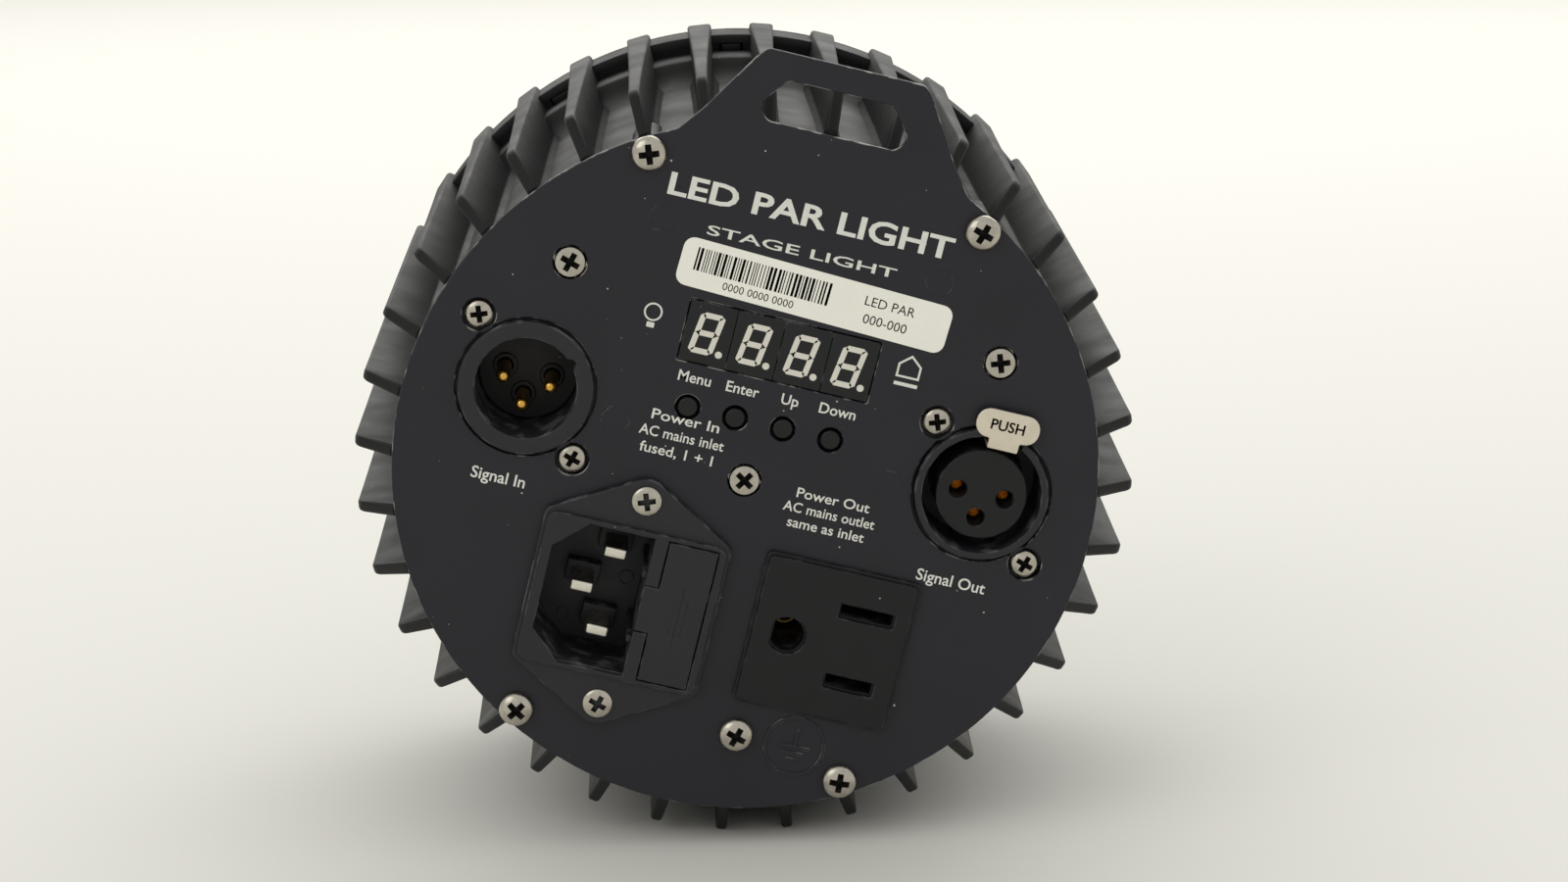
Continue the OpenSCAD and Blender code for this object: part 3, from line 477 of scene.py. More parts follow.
class ParLightStage(bpy.types.PropertyGroup):
    """Floor, lights and camera."""

    azimuth: FloatProperty(name="Azimuth", description="Direction the camera looks in, about the vertical",
                           subtype="ANGLE", default=math.radians(1.39))
    elevation: FloatProperty(name="Elevation", description="Height of the camera as an angle",
                             subtype="ANGLE", default=math.radians(13.87))
    roll: FloatProperty(name="Roll", description="Turn of the camera about its own axis",
                        subtype="ANGLE", default=math.radians(-1.21))
    distance: FloatProperty(name="Distance", description="From the camera to the point it looks at",
                            subtype="DISTANCE", unit="LENGTH", default=0.587)
    lens: FloatProperty(name="Lens", description="Focal length on a 36 mm sensor, in mm", default=80.96)
    floor_colour: FloatVectorProperty(name="Floor", description="Colour of the plain floor",
                                      subtype="COLOR", size=4, default=hex_colour("#e3e2dd"))
    back_power: FloatProperty(name="Back light", description="Power of the large light behind, in watts",
                              default=9.0)
    key_power: FloatProperty(name="Key light", description="Power of the soft light in front, in watts",
                             default=3.0)
    sky: FloatProperty(name="Sky", description="Strength of the even light from all round", default=0.84)


# ---- housing and front ----
def add_fin(bm, angle, size):
    """One cooling fin: thin at the rear, wider to the front, with a rounded tip and a filleted foot."""
    side = rounded([(59.4, 1.4, 0), (FIN_TIP, 7.4, 3.0), (FIN_TIP, 77.2, 0.9), (61.5, 77.2, 0)], 5)
    stations = [side[0]]
    for a, b in zip(side, side[1:]):
        parts = max(1, int((b - a).length / 8))
        stations += [a.lerp(b, k / parts) for k in range(1, parts + 1)]
    turn = Matrix.Rotation(-angle, 3, "Y")
    sections = []
    for i, (tip, y) in enumerate(stations):
        depth = min(y, 77.2) + (0.001 * i if y >= 77.19 else 0)
        share = max(0.0, (depth - 7) / 70)
        half = size.rear_half + (size.front_half - size.rear_half) * share ** 1.5
        edge = min(size.tip_round, half * 0.75)
        foot = size.shell_r - 0.8
        low = min(size.shell_r + 1.1, tip - edge - 0.05)
        arc = [(tip - edge + edge * math.sin(t), half - edge + edge * math.cos(t))
               for t in (math.pi / 8 * k for k in range(5))]
        right = [(foot, half + 1.5), (size.shell_r + 0.12, half + 0.95), (low - 0.4, half + 0.32),
                 (low, half + 0.16)] + arc
        right = [(min(r, tip), t) for r, t in right]
        outline = [(r, -t) for r, t in right] + right[::-1]
        sections.append([bm.verts.new(turn @ Vector((r, depth, t))) for r, t in outline])
    for a, b in zip(sections, sections[1:]):
        for k in range(len(a)):
            n = (k + 1) % len(a)
            bm.faces.new((a[k], a[n], b[n], b[k]))
    bm.faces.new(sections[0])
    bm.faces.new(sections[-1][::-1])


def add_shell(bm, size):
    """Round wall, the shelf and flange at the front, and the windows for the front ring's clips."""
    r = size.shell_r
    inner = r - size.wall
    start = [(inner, 1.2), (r - 0.3, 1.2), (r, 1.5), (r, 20), (r, 40), (r, 53), (r + 0.25, 54.6),
             (r + 0.8, 56.2), (r + 1.6, 57.8), (r + 2.7, 59.2), (61.4, 60.0), (61.7, 60.5), (61.7, 68.4)]
    plain = [(61.7, 69.0), (61.7, 69.5), (61.75, 70.0), (62.9, 70.0)]
    window = [(60.7, 68.4), (60.7, 73.5), (62.9, 73.5), (62.9, 70.0)]
    end = [(64.1, 70), (64.4, 70.2), (64.5, 70.6), (64.5, FLANGE_FRONT - 0.3), (64.2, FLANGE_FRONT),
           (59.8, FLANGE_FRONT), (59.8, 73.6), (57, 73.6), (57, 71.6), (58.9, 71.6), (58.9, 61), (inner, 54)]
    half, lip = 1.94, 0.04
    columns = []
    for degree in range(0, 360):
        away = (degree - 15 + 15) % (360 / size.clip_count) - 15
        if abs(away) > half + lip:
            columns.append((degree, plain))
    for k in range(size.clip_count):
        middle = 15 + k * 360 / size.clip_count
        columns += [(middle - half - lip, plain), (middle - half, window), (middle, window),
                    (middle + half, window), (middle + half + lip, plain)]
    rings = []
    for degree, part in sorted(columns, key=lambda c: c[0]):
        t = math.radians(degree)
        rings.append([bm.verts.new((p * math.cos(t), y, p * math.sin(t))) for p, y in start + part + end])
    for a, b in zip(rings, rings[1:] + rings[:1]):
        for k in range(len(a)):
            n = (k + 1) % len(a)
            bm.faces.new((a[k], a[n], b[n], b[k]))


class PARLIGHT_OT_housing(bpy.types.Operator):
    """Build the finned housing"""

    bl_idname = "par_light.housing"
    bl_label = "Finned housing"

    def execute(self, context):
        size = context.scene.par_light_housing
        bm = bmesh.new()
        add_shell(bm, size)
        for k in range(size.fin_count):
            add_fin(bm, 2 * math.pi * k / size.fin_count, size)
        for degree in (60, 120, 240, 300):
            t = math.radians(degree)
            r = context.scene.par_light_panel.rim_screw_r
            add_turned(bm, [(1.4, 1.25), (2.9, 1.25), (2.9, 14), (1.4, 14)], (r * math.cos(t), r * math.sin(t)), 24)
        add_piece("finned_housing", bm, ["abs"], stands_for=["housing_shell"], sharp=40)
        return {"FINISHED"}


class PARLIGHT_OT_front(bpy.types.Operator):
    """Build the front ring with its clips, the glass and its gasket"""

    bl_idname = "par_light.front"
    bl_label = "Front ring and glass"

    def execute(self, context):
        size = context.scene.par_light_housing
        bm = bmesh.new()
        back = FLANGE_FRONT + 0.1
        add_turned(bm, soft_profile([(57.2, back, 0.1), (64.5, back, 0.25), (64.5, BEZEL_FRONT - 0.2, 1.2),
                                     (63.0, BEZEL_FRONT, 0.5), (58.8, BEZEL_FRONT, 0.5),
                                     (57.2, BEZEL_FRONT - 0.9, 0.3)]), steps=256)
        for k in range(size.clip_count):
            t = math.radians(15 + k * 360 / size.clip_count)
            finger = bmesh.new()
            add_block(finger, (61.0, 69.6, -1.75), (62.2, 78, 1.75), 0.15)
            add_block(finger, (61.2, 69.0, -1.75), (62.75, 70.4, 1.75), 0.15)
            mesh = bpy.data.meshes.new("finger")
            finger.to_mesh(mesh)
            finger.free()
            add_mesh(bm, mesh, Matrix.Rotation(-t, 4, "Y"))
        add_piece("front_ring", bm, ["abs"], stands_for=["front_bezel"])
        low, high = lamp_box("front_glass")
        bm = bmesh.new()
        add_turned(bm, soft_profile([(0, low.y, 0), (high.x, low.y, 0.4), (high.x, high.y, 0.4), (0, high.y, 0)]),
                   steps=192)
        add_piece("front_glass_disc", bm, ["glass"], stands_for=["front_glass"])
        low, high = lamp_box("glass_gasket")
        bm = bmesh.new()
        add_turned(bm, soft_profile([(57, low.y, 0.3), (high.x, low.y, 0.3), (high.x, high.y, 0.3),
                                     (57, high.y, 0.3)]), steps=128)
        add_piece("glass_gasket_ring", bm, ["rubber"], stands_for=["glass_gasket"])
        return {"FINISHED"}


class PARLIGHT_OT_optics(bpy.types.Operator):
    """Build the three bead lenses and their holding plate"""

    bl_idname = "par_light.optics"
    bl_label = "Lenses and plate"

    def execute(self, context):
        places = [centre_of(f"collimator_lens_{i}") for i in (1, 2, 3)]
        low, high = lamp_box("lens_plate")
        bm = bmesh.new()
        holes = [circle(p, 18.0, 96) for p in places]
        holes += [circle((44 * math.cos(t), 44 * math.sin(t)), 1.7, 24)
                  for t in (math.radians(30 + 120 * i) for i in range(3))]
        add_plate(bm, circle((0, 0), high.x, 192), low.y, high.y, holes, 0.3)
        for p in places:
            add_turned(bm, soft_profile([(18.0, high.y - 0.1, 0), (20.4, high.y - 0.1, 0), (20.0, high.y + 0.9, 0.4),
                                         (18.4, high.y + 0.9, 0.3)]), p, 96)
        add_piece("lens_holding_plate", bm, ["abs"], stands_for=["lens_plate"])
        for i, p in enumerate(places, 1):
            low, high = lamp_box(f"collimator_lens_{i}")
            back, front, r = low.y, high.y, (high.x - low.x) / 2
            bm = bmesh.new()
            add_turned(bm, [(0, back + 4.2), (3, back + 3.4), (3.4, back), (5.2, back), (9.5, back + 4),
                            (13, back + 7.8), (16, back + 12), (17.3, front - 1), (r, front - 1), (r, front),
                            (0, front)], p, 96)
            # hexagonal field of small domes that spreads each beam
            pitch = 3.2
            for row in range(-6, 7):
                for column in range(-6, 7):
                    x = (column + 0.5 * (row % 2)) * pitch
                    z = row * pitch * math.sqrt(0.75)
                    if math.hypot(x, z) > r - 2.4:
                        continue
                    add_turned(bm, [(0, front - 0.1), (1.58, front - 0.1), (1.45, front + 0.22),
                                    (1.05, front + 0.46), (0.55, front + 0.6), (0, front + 0.64)],
                               (p[0] + x, p[1] + z), 12)
            add_piece(f"bead_lens_{i}", bm, ["acrylic"], stands_for=[f"collimator_lens_{i}"])
        return {"FINISHED"}


# ---- rear panel ----
def panel_outline():
    """Round sheet with the handle tab standing on its top edge."""
    join = math.atan2(53.7, 24.5)
    steps = 180
    first, last = math.pi - join, 2 * math.pi + join
    arc = [(PANEL_R * math.cos(t), PANEL_R * math.sin(t), 0)
           for t in (first + (last - first) * k / steps for k in range(1, steps))]
    right = [(24.5, 53.7, 2.2), (21.2, 58.0, 1), (14.9, 68.0, 2.4), (13.2, TAB_TOP, 1.6)]
    left = [(-x, z, r) for x, z, r in reversed(right)]
    return rounded(arc + right + left)


def latch_gap():
    """Round hole of the signal-out socket with the square notch that its latch works in."""
    r, left, right, top = 11.75, -3.5, 5.9, 12.3
    first, last = math.acos(left / r), 2 * math.pi + math.acos(right / r)
    arc = [(r * math.cos(t), r * math.sin(t)) for t in (first + (last - first) * k / 72 for k in range(73))]
    return moved(arc + [(right, top), (left, top)], XLR_OUT)


class PARLIGHT_OT_panel(bpy.types.Operator):
    """Build the powder-coated rear panel with its handle tab"""

    bl_idname = "par_light.panel"
    bl_label = "Rear panel"

    def execute(self, context):
        size = context.scene.par_light_panel
        slot = rounded([(-10.6, 58.4, 1.8), (10.6, 58.4, 1.8), (12.6, 60.6, 1.6), (8.9, 65.6, 1.8),
                        (-8.9, 65.6, 1.8), (-12.6, 60.6, 1.6)])
        low, high = DIGITS[0][0], DIGITS[-1][1]
        middle = ((low.x + high.x) / 2, (low.z + high.z) / 2)
        holes = [slot, rectangle(middle, high.x - low.x + 0.4, high.z - low.z + 0.4, 0.3)]
        holes += [circle(at, 2.15, 32) for at in BUTTONS.values()]
        holes += [circle(at, 2.85, 40) for at in BOARD_SCREWS]
        holes += [circle(XLR_IN, 11.75), latch_gap()]
        for x, z in (XLR_IN, XLR_OUT):
            holes += [circle((x - s * FLANGE_SCREW, z + s * FLANGE_SCREW), 2.85, 40) for s in (-1, 1)]
        holes += [rectangle(INLET, 30, 25.6, 1), rectangle(OUTLET, 25, 25.2, 1)]
        bm = bmesh.new()
        add_plate(bm, panel_outline(), 0, PANEL_T, holes, size.edge, 3)
        add_piece("rear_panel_sheet", bm, ["coat"], stands_for=["rear_panel"], sharp=50)
        return {"FINISHED"}


# ---- screws ----
def cross_cutter(bm, at, top, r, angle):
    """Tapered cross that a driver fits, cut into a screw head from its top."""
    turn = Matrix.Translation((at[0], 0, at[1])) @ Matrix.Rotation(math.radians(angle), 4, "Y")
    rings = []
    for reach, thick, y in ((r * 0.75, r * 0.21, top - 0.5), (r * 0.24, r * 0.1, top + 1.7)):
        arm = [(reach, -thick), (reach, thick), (thick, thick)]
        corners = [(x * c - z * s, x * s + z * c) for c, s in ((1, 0), (0, 1), (-1, 0), (0, -1)) for x, z in arm]
        rings.append([bm.verts.new(turn @ Vector((x, y, z))) for x, z in corners])
    for k in range(12):
        n = (k + 1) % 12
        bm.faces.new((rings[0][k], rings[0][n], rings[1][n], rings[1][k]))
    bm.faces.new(rings[0][::-1])
    bm.faces.new(rings[1])


def add_screws(name, places, seat, r, height, node_name, body="root", sunk=False, shank=8.0):
    """A group of like cross-recess screws whose heads sit on depth seat."""
    bm, cutter = bmesh.new(), bmesh.new()
    for i, at in enumerate(places):
        dome = [(r * math.cos(t) if k < 5 else 0, seat - height * (0.35 + 0.65 * math.sin(t)))
                for k, t in enumerate(math.pi / 10 * k for k in range(6))]
        if sunk:
            dome = [(r * 0.97, seat + 0.1), (r * 0.9, seat - height * 0.4), (r * 0.6, seat - height * 0.8),
                    (0, seat - height)]
            foot = [(r * 0.45, seat + 1.6)]
        else:
            foot = [(r * 0.45, seat), (r * 0.96, seat), (r, seat - height * 0.12)]
        add_turned(bm, [(0, seat + shank), (r * 0.4, seat + shank - 0.3), *foot, *dome], at, 40)
        cross_cutter(cutter, at, seat - height, r, 17 + 53 * i)
    piece = add_piece(name, bm, ["nickel"], body, [node_name], cut=cutter)
    # the second finish is the near-black painted shade, given to the faces inside each cross recess
    piece.data.materials.append(finish("recess_shade"))
    top, back = seat - height, LAMP.inverted()
    for face in piece.data.polygons:
        at = back @ face.center
        inside = min(math.hypot(at.x - x, at.z - z) for x, z in places) < r * 0.72
        walled = abs(face.normal.y) < 0.8 or at.y > top + 1.5
        if inside and walled and top < at.y < top + 1.8:
            face.material_index = 1
    return piece


class PARLIGHT_OT_screws(bpy.types.Operator):
    """Build the screws that show on the rear panel"""

    bl_idname = "par_light.screws"
    bl_label = "Screws"

    def execute(self, context):
        size = context.scene.par_light_panel
        rim = [(size.rim_screw_r * math.cos(t), size.rim_screw_r * math.sin(t))
               for t in map(math.radians, (60, 120, 240, 300))]
        add_screws("panel_rim_screws", rim, 0, size.head_r, 2.1, "rim_screws", shank=10)
        add_screws("earth_stud_screw", [EARTH], 0, size.head_r, 2.1, "earth_screw")
        add_screws("control_board_screws", BOARD_SCREWS, 0.25, 2.7, 0.5, "board_screws", sunk=True, shank=4.5)
        for name, (x, z) in (("xlr_in", XLR_IN), ("xlr_out", XLR_OUT)):
            places = [(x - s * FLANGE_SCREW, z + s * FLANGE_SCREW) for s in (-1, 1)]
            add_screws(name + "_flange_screws", places, PANEL_T + 0.1, 2.45, 1.4, name + "_screws", shank=1.8)
        places = [(INLET[0] + 0.1, INLET[1] + s * 18.1) for s in (-1, 1)]
        add_screws("inlet_flange_screws", places, -1.5, 2.5, 0.8, "inlet_screws", shank=5.5)
        return {"FINISHED"}


# ---- signal sockets ----
def add_flange(bm, at, hole):
    """Square flange of a signal socket, clamped behind the panel."""
    screws = [circle((at[0] - s * FLANGE_SCREW, at[1] + s * FLANGE_SCREW), 1.3, 24) for s in (-1, 1)]
    add_plate(bm, rectangle(at, 26, 26, 3), PANEL_T + 0.1, PANEL_T + 2.1, [circle(at, hole), *screws], 0.15)


class PARLIGHT_OT_signal_in(bpy.types.Operator):
    """Build the signal-in socket: ring, insert and three pins"""

    bl_idname = "par_light.signal_in"
    bl_label = "Signal-in socket"

    def execute(self, context):
        bm = bmesh.new()
        add_flange(bm, XLR_IN, 10.9)
        low, high = lamp_box("xlr_in_shell")
        face, cavity, ring = low.y, 8.45, 11.3
        key, key_at, key_r = math.radians(41), 8.3, 1.0
        profile = soft_profile([(cavity, face, 0.35), (ring, face, 0.45), (ring, 20, 0), (cavity, 20, 0)])
        rings = []
        steps = 180
        for k in range(steps):
            t = 2 * math.pi * k / steps
            off = key_at * math.sin(t - key)
            reach = 0.0
            if abs(off) < key_r and math.cos(t - key) > 0:
                reach = max(0.0, key_at * math.cos(t - key) + math.sqrt(key_r ** 2 - off ** 2) - cavity)
            rings.append([bm.verts.new((XLR_IN[0] + (r + (reach if r < cavity + 0.4 and y < 13 or r <= cavity else 0))
                                        * math.cos(t), y,
                                        XLR_IN[1] + (r + (reach if r < cavity + 0.4 and y < 13 or r <= cavity else 0))
                                        * math.sin(t))) for r, y in profile])
        for a, b in zip(rings, rings[1:] + rings[:1]):
            for k in range(len(a)):
                n = (k + 1) % len(a)
                bm.faces.new((a[k], a[n], b[n], b[k]))
        add_piece("signal_in_ring", bm, ["nylon"], stands_for=["xlr_in_shell"])
        bm = bmesh.new()
        bores = [circle((XLR_IN[0] + x, XLR_IN[1] + z), 1.3, 24) for x, z in PIN_PLACES]
        add_plate(bm, circle(XLR_IN, 8.4, 72), 13, 19.6, bores, 0.2)
        for x, z in PIN_PLACES:
            add_turned(bm, soft_profile([(1.35, 13.1, 0), (2.1, 13.1, 0), (2.1, 12.4, 0.2), (1.35, 12.4, 0.15)]),
                       (XLR_IN[0] + x, XLR_IN[1] + z), 32)
        add_piece("signal_in_insert", bm, ["dark_nylon"], stands_for=["xlr_in_insert"])
        bm = bmesh.new()
        tip = lamp_box("xlr_in_pins")[0].y
        for x, z in PIN_PLACES:
            dome = [(1.18 * math.sin(t), tip + 1.18 * (1 - math.cos(t))) for t in (math.pi / 12 * k for k in range(7))]
            add_turned(bm, [*dome, (1.18, 20), (1.38, 20.1), (1.38, 24), (0, 24)],
                       (XLR_IN[0] + x, XLR_IN[1] + z), 32)
        add_piece("signal_in_pins", bm, ["gold"], stands_for=["xlr_in_pins"])
        return {"FINISHED"}


class PARLIGHT_OT_signal_out(bpy.types.Operator):
    """Build the signal-out socket: ring, insert, contacts and the latch tab"""

    bl_idname = "par_light.signal_out"
    bl_label = "Signal-out socket"

    def execute(self, context):
        x0, z0 = XLR_OUT
        face = lamp_box("xlr_out_shell")[0].y
        ring, flange, gap, gap_too = (bmesh.new() for _ in range(4))
        add_turned(ring, soft_profile([(10, face, 0.3), (11.25, face, 0.4), (11.25, 20, 0), (8, 20, 0),
                                       (8, 12.5, 0), (10, 12.5, 0)]), XLR_OUT, 144)
        add_flange(flange, XLR_OUT, 11.3)
        for cutter in (gap, gap_too):
            add_block(cutter, (x0 - 2.2, -2, z0 + 7.8), (x0 + 4.6, 6.5, z0 + 12.6), 0.1, 1)
        add_piece("signal_out_ring", ring, ["nylon"], stands_for=["xlr_out_shell"], cut=gap)
        add_piece("signal_out_flange", flange, ["nylon"], cut=gap_too)
        bm = bmesh.new()
        holes = [circle((x0 + x, z0 + z), 1.5, 32) for x, z in PIN_PLACES]
        add_plate(bm, circle(XLR_OUT, 7.65, 96), -0.4, 12.4, holes, 0.35, 3)
        add_plate(bm, circle(XLR_OUT, 7.9, 72), 12.4, 19.6, holes, 0.1)
        add_piece("signal_out_insert", bm, ["dark_nylon"], stands_for=["xlr_out_insert"])
        bm = bmesh.new()
        for x, z in PIN_PLACES:
            add_turned(bm, [(1.15, 5), (1.3, 4.9), (1.45, 5), (1.45, 24), (0, 24), (0, 14), (1.15, 14)],
                       (x0 + x, z0 + z), 32)
        add_piece("signal_out_contacts", bm, ["gold"], stands_for=["xlr_out_contacts"])
        low, high = lamp_box("xlr_out_latch")
        at = ((low.x + high.x) / 2, z0 + 12.6)
        bm = bmesh.new()
        tab = rounded([(-5.4, -2.5, 2.3), (-2.6, -2.5, 0.3), (-2.6, -4.2, 0.3), (2.6, -4.2, 0.3), (2.6, -2.5, 0.3),
                       (5.4, -2.5, 2.3), (5.4, 2.5, 2.3), (-5.4, 2.5, 2.3)])
        add_plate(bm, moved(tab, at), low.y, -1.3, bevel=0.18, steps=2)
        add_block(bm, (at[0] - 2.6, -1.9, at[1] - 4.2), (at[0] + 2.6, 4.6, at[1] - 3.5), 0.15)
        add_block(bm, (at[0] - 2.6, -1.4, z0 + 10.25), (at[0] + 2.6, 1.0, z0 + 10.95), 0.15)
        add_piece("latch_tab", bm, ["latch"], "xlr_latch", ["xlr_out_latch"])
        bm = bmesh.new()
        add_text(bm, "PUSH", (at[0], at[1] - 0.1), 1.75, low.y - 0.0, low.y + 0.05, bold=0.05)
        add_piece("latch_word", bm, ["label_ink"], "xlr_latch")
        return {"FINISHED"}


# ---- power inlet and outlet ----
class PARLIGHT_OT_inlet(bpy.types.Operator):
    """Build the power inlet: body and blades, with the opening for the fuse drawer"""

    bl_idname = "par_light.inlet"
    bl_label = "Power inlet"

    def execute(self, context):
        x0, z0 = INLET
        face = lamp_box("inlet_body")[0].y
        cavity = moved(rounded([(-13.5, -7.3, 0.5), (-8.1, -12.3, 0.5), (3, -12.3, 0.5), (3, 12.3, 0.5),
                                (-8.1, 12.3, 0.5), (-13.5, 7.3, 0.5)], 3), INLET)
        drawer = moved([(5.35, -12.45), (14.1, -12.45), (14.1, 12.45), (5.35, 12.45)], INLET)
        # the drawer's tongue closes a gap in the cavity's wall, so the two are one hole at the face
        both = moved([(-13.5, -7.3), (-8.1, -12.3), (3, -12.3), (3, -4.15), (5.35, -4.15), (5.35, -12.45),
                      (14.1, -12.45), (14.1, 12.45), (5.35, 12.45), (5.35, 4.15), (3, 4.15), (3, 12.3),
                      (-8.1, 12.3), (-13.5, 7.3)], INLET)
        bm = bmesh.new()
        flange = [(0, 22.4, 4), (-16, 13.2, 2), (-16, -13.2, 2), (0, -22.4, 4), (16, -13.2, 2), (16, 13.2, 2)]
        add_plate(bm, moved(rounded(flange), INLET), -1.5, 0, [rectangle(INLET, 28, 24, 1)], 0.28)
        add_plate(bm, rectangle(INLET, 30.7, 26.4, 2), face, -0.1, [both], 0.22)
        add_plate(bm, rectangle(INLET, 29.6, 25.2, 1), -0.1, 2.2, [both], 0.02, 0)
        add_plate(bm, rectangle(INLET, 29.6, 25.2, 1), 2.2, 14.6, [cavity, drawer], 0.02, 0)
        add_plate(bm, rectangle((x0 - 5, z0), 19, 25.2, 1), 14.6, 23, bevel=0.2)
        for x, z in BLADE_PLACES:
            add_block(bm, (x0 + x - 2.9, 11.6, z0 + z - 1.9), (x0 + x + 2.9, 14.8, z0 + z + 1.9), 0.25)
        for x, z, r in ((-8.6, 8.6, 1.1), (-8.6, -8.6, 1.1), (0.6, 0, 1.3)):
            add_turned(bm, soft_profile([(r - 0.25, 14.7, 0), (r - 0.2, 14.35, 0.08), (r, 14.35, 0.08), (r + 0.05, 14.7, 0)]),
                       (x0 + x, z0 + z), 24)
        add_block(bm, (x0 + 2.2, -1.6, z0 + 5.2), (x0 + 3.2, 14.6, z0 + 6.4), 0.2)
        add_block(bm, (x0 + 2.2, -1.6, z0 - 6.4), (x0 + 3.2, 14.6, z0 - 5.2), 0.2)
        add_piece("inlet_moulding", bm, ["nylon"], stands_for=["inlet_body"])
        bm = bmesh.new()
        for x, z in BLADE_PLACES:
            add_block(bm, (x0 + x - 2, 2.6, z0 + z - 1), (x0 + x + 2, 27, z0 + z + 1), 0.5, 3)
        add_piece("inlet_blade_set", bm, ["tin"], stands_for=["inlet_blades"])
        return {"FINISHED"}


class PARLIGHT_OT_fuse_drawer(bpy.types.Operator):
    """Build the fuse drawer with its two fuses"""

    bl_idname = "par_light.fuse_drawer"
    bl_label = "Fuse drawer"

    def execute(self, context):
        x0, z0 = INLET
        low, high = lamp_box("fuse_drawer")
        middle = (low.y + 2.4, high.y)
        left, right = x0 + 5.55, high.x
        bm = bmesh.new()
        outline = moved([(5.55, -12.25), (13.9, -12.25), (13.9, 12.25), (5.55, 12.25), (5.55, 3.95), (3.0, 3.95),
                         (3.0, -3.95), (5.55, -3.95)], INLET)
        add_plate(bm, outline, low.y, 2, bevel=0.22)
        add_block(bm, (right - 2.0, 1.9, z0 - 12.25), (right, high.y, z0 + 12.25), 0.3)
        for z in (-12.25, 10.6):
            add_block(bm, (left, 1.9, z0 + z), (right - 1.9, 12, z0 + z + 1.65), 0.25)
        for y in (1.9, 10.0, 18.4):
            add_block(bm, (left, y, z0 - 12.2), (right - 1.9, y + 1.4, z0 + 12.2), 0.25)
        add_piece("fuse_drawer_tray", bm, ["nylon"], "fuse_drawer", ["fuse_drawer"])
        bm = bmesh.new()
        x, face = (left + right) / 2, low.y
        for edge in ((-1.1, -1.0), (1.0, 1.1)):
            add_block(bm, (x + edge[0], face - 0.0, z0 - 3.2), (x + edge[1], face + 0.1, z0 + 3.2), 0.02, 1)
        for z in (-3.2, 3.1):
            add_block(bm, (x - 1.1, face, z0 + z), (x + 1.1, face + 0.1, z0 + z + 0.1), 0.02, 1)
        add_block(bm, (x - 0.05, face, z0 - 5.2), (x + 0.05, face + 0.1, z0 + 5.2), 0.02, 1)
        add_piece("fuse_mark", bm, ["faint_ink"], "fuse_drawer")
        for name in ("fuse", "spare_fuse"):
            low, high = lamp_box(name)
            y, xm, zm = (low.y + high.y) / 2, (low.x + high.x) / 2, (low.z + high.z) / 2
            bm = bmesh.new()
            add_turned(bm, [(2.38, -10), (2.38, 10), (2.1, 10), (2.1, -10)], steps=40)
            mesh = bpy.data.meshes.new(name)
            caps = bmesh.new()
            for s in (-1, 1):
                add_turned(caps, soft_profile([(0, s * 10, 0), (2.6, s * 10, 0.3), (2.6, s * 5, 0.15), (2.4, s * 5, 0)]),
                           steps=40)
            add_turned(caps, [(0, -9.9), (0.12, -9.9), (0.12, 9.9), (0, 9.9)], steps=8)
            upright = Matrix.Translation((xm, y, zm)) @ Matrix.Rotation(math.pi / 2, 4, "X")
            for part, label, look in ((bm, "_tube", "fuse_glass"), (caps, "_caps", "tin")):
                part.to_mesh(mesh)
                part.clear()
                mesh.transform(upright)
                part.from_mesh(mesh)
                stands = [name] if label == "_tube" else ()
                add_piece(name + label, part, [look], "fuse_drawer", stands)
            bpy.data.meshes.remove(mesh)
        return {"FINISHED"}


class PARLIGHT_OT_outlet(bpy.types.Operator):
    """Build the power outlet and its contacts"""

    bl_idname = "par_light.outlet"
    bl_label = "Power outlet"

    def execute(self, context):
        x0, z0 = OUTLET
        face = lamp_box("outlet_body")[0].y
        slots = [(5.4, 6.1, 9.0), (5.3, -6.4, 8.0)]
        earth = (-6.9, -0.2)
        r, flat = 2.95, 2.45
        side = math.acos(-flat / r)
        d_hole = [(earth[0] + r * math.cos(t), earth[1] + r * math.sin(t))
                  for t in (-side + 2 * side * k / 40 for k in range(41))]

        def holes(grow):
            found = [moved(rectangle((x, z), length + 2 * grow, 2 + 2 * grow, 0.15 + grow), OUTLET)
                     for x, z, length in slots]
            spread = [Vector(earth) + (Vector(p) - Vector(earth)) * (1 + grow / r) for p in d_hole]
            return [*found, moved(spread, OUTLET)]

        bm = bmesh.new()
        add_plate(bm, rectangle(OUTLET, 26.7, 26.9, 1), -0.9, 0, [rectangle(OUTLET, 24, 24, 1)], 0.2)
        add_plate(bm, rectangle(OUTLET, 25.7, 25.9, 0.9), face, -0.6, holes(0.3), 0.28)
        add_plate(bm, rectangle(OUTLET, 24.6, 24.8, 0.8), -0.6, 16, holes(0), 0.05, 1)
        add_plate(bm, rectangle(OUTLET, 24.6, 24.8, 0.8), 16, 20, bevel=0.4)
        add_piece("outlet_moulding", bm, ["dark_nylon"], stands_for=["outlet_body"])
        bm = bmesh.new()
        for x, z, _ in slots:
            for s in (-1, 1):
                add_block(bm, (x0 + x - 3.4, 12, z0 + z + s * 0.65 - 0.3), (x0 + x + 3.4, 24, z0 + z + s * 0.65 + 0.3), 0.15)
        add_turned(bm, [(1.9, 13.5), (2.2, 13.5), (2.2, 24), (1.9, 24)], (x0 + earth[0], z0 + earth[1]), 32)
        add_piece("outlet_contact_set", bm, ["brass"], stands_for=["outlet_contacts"])
        return {"FINISHED"}


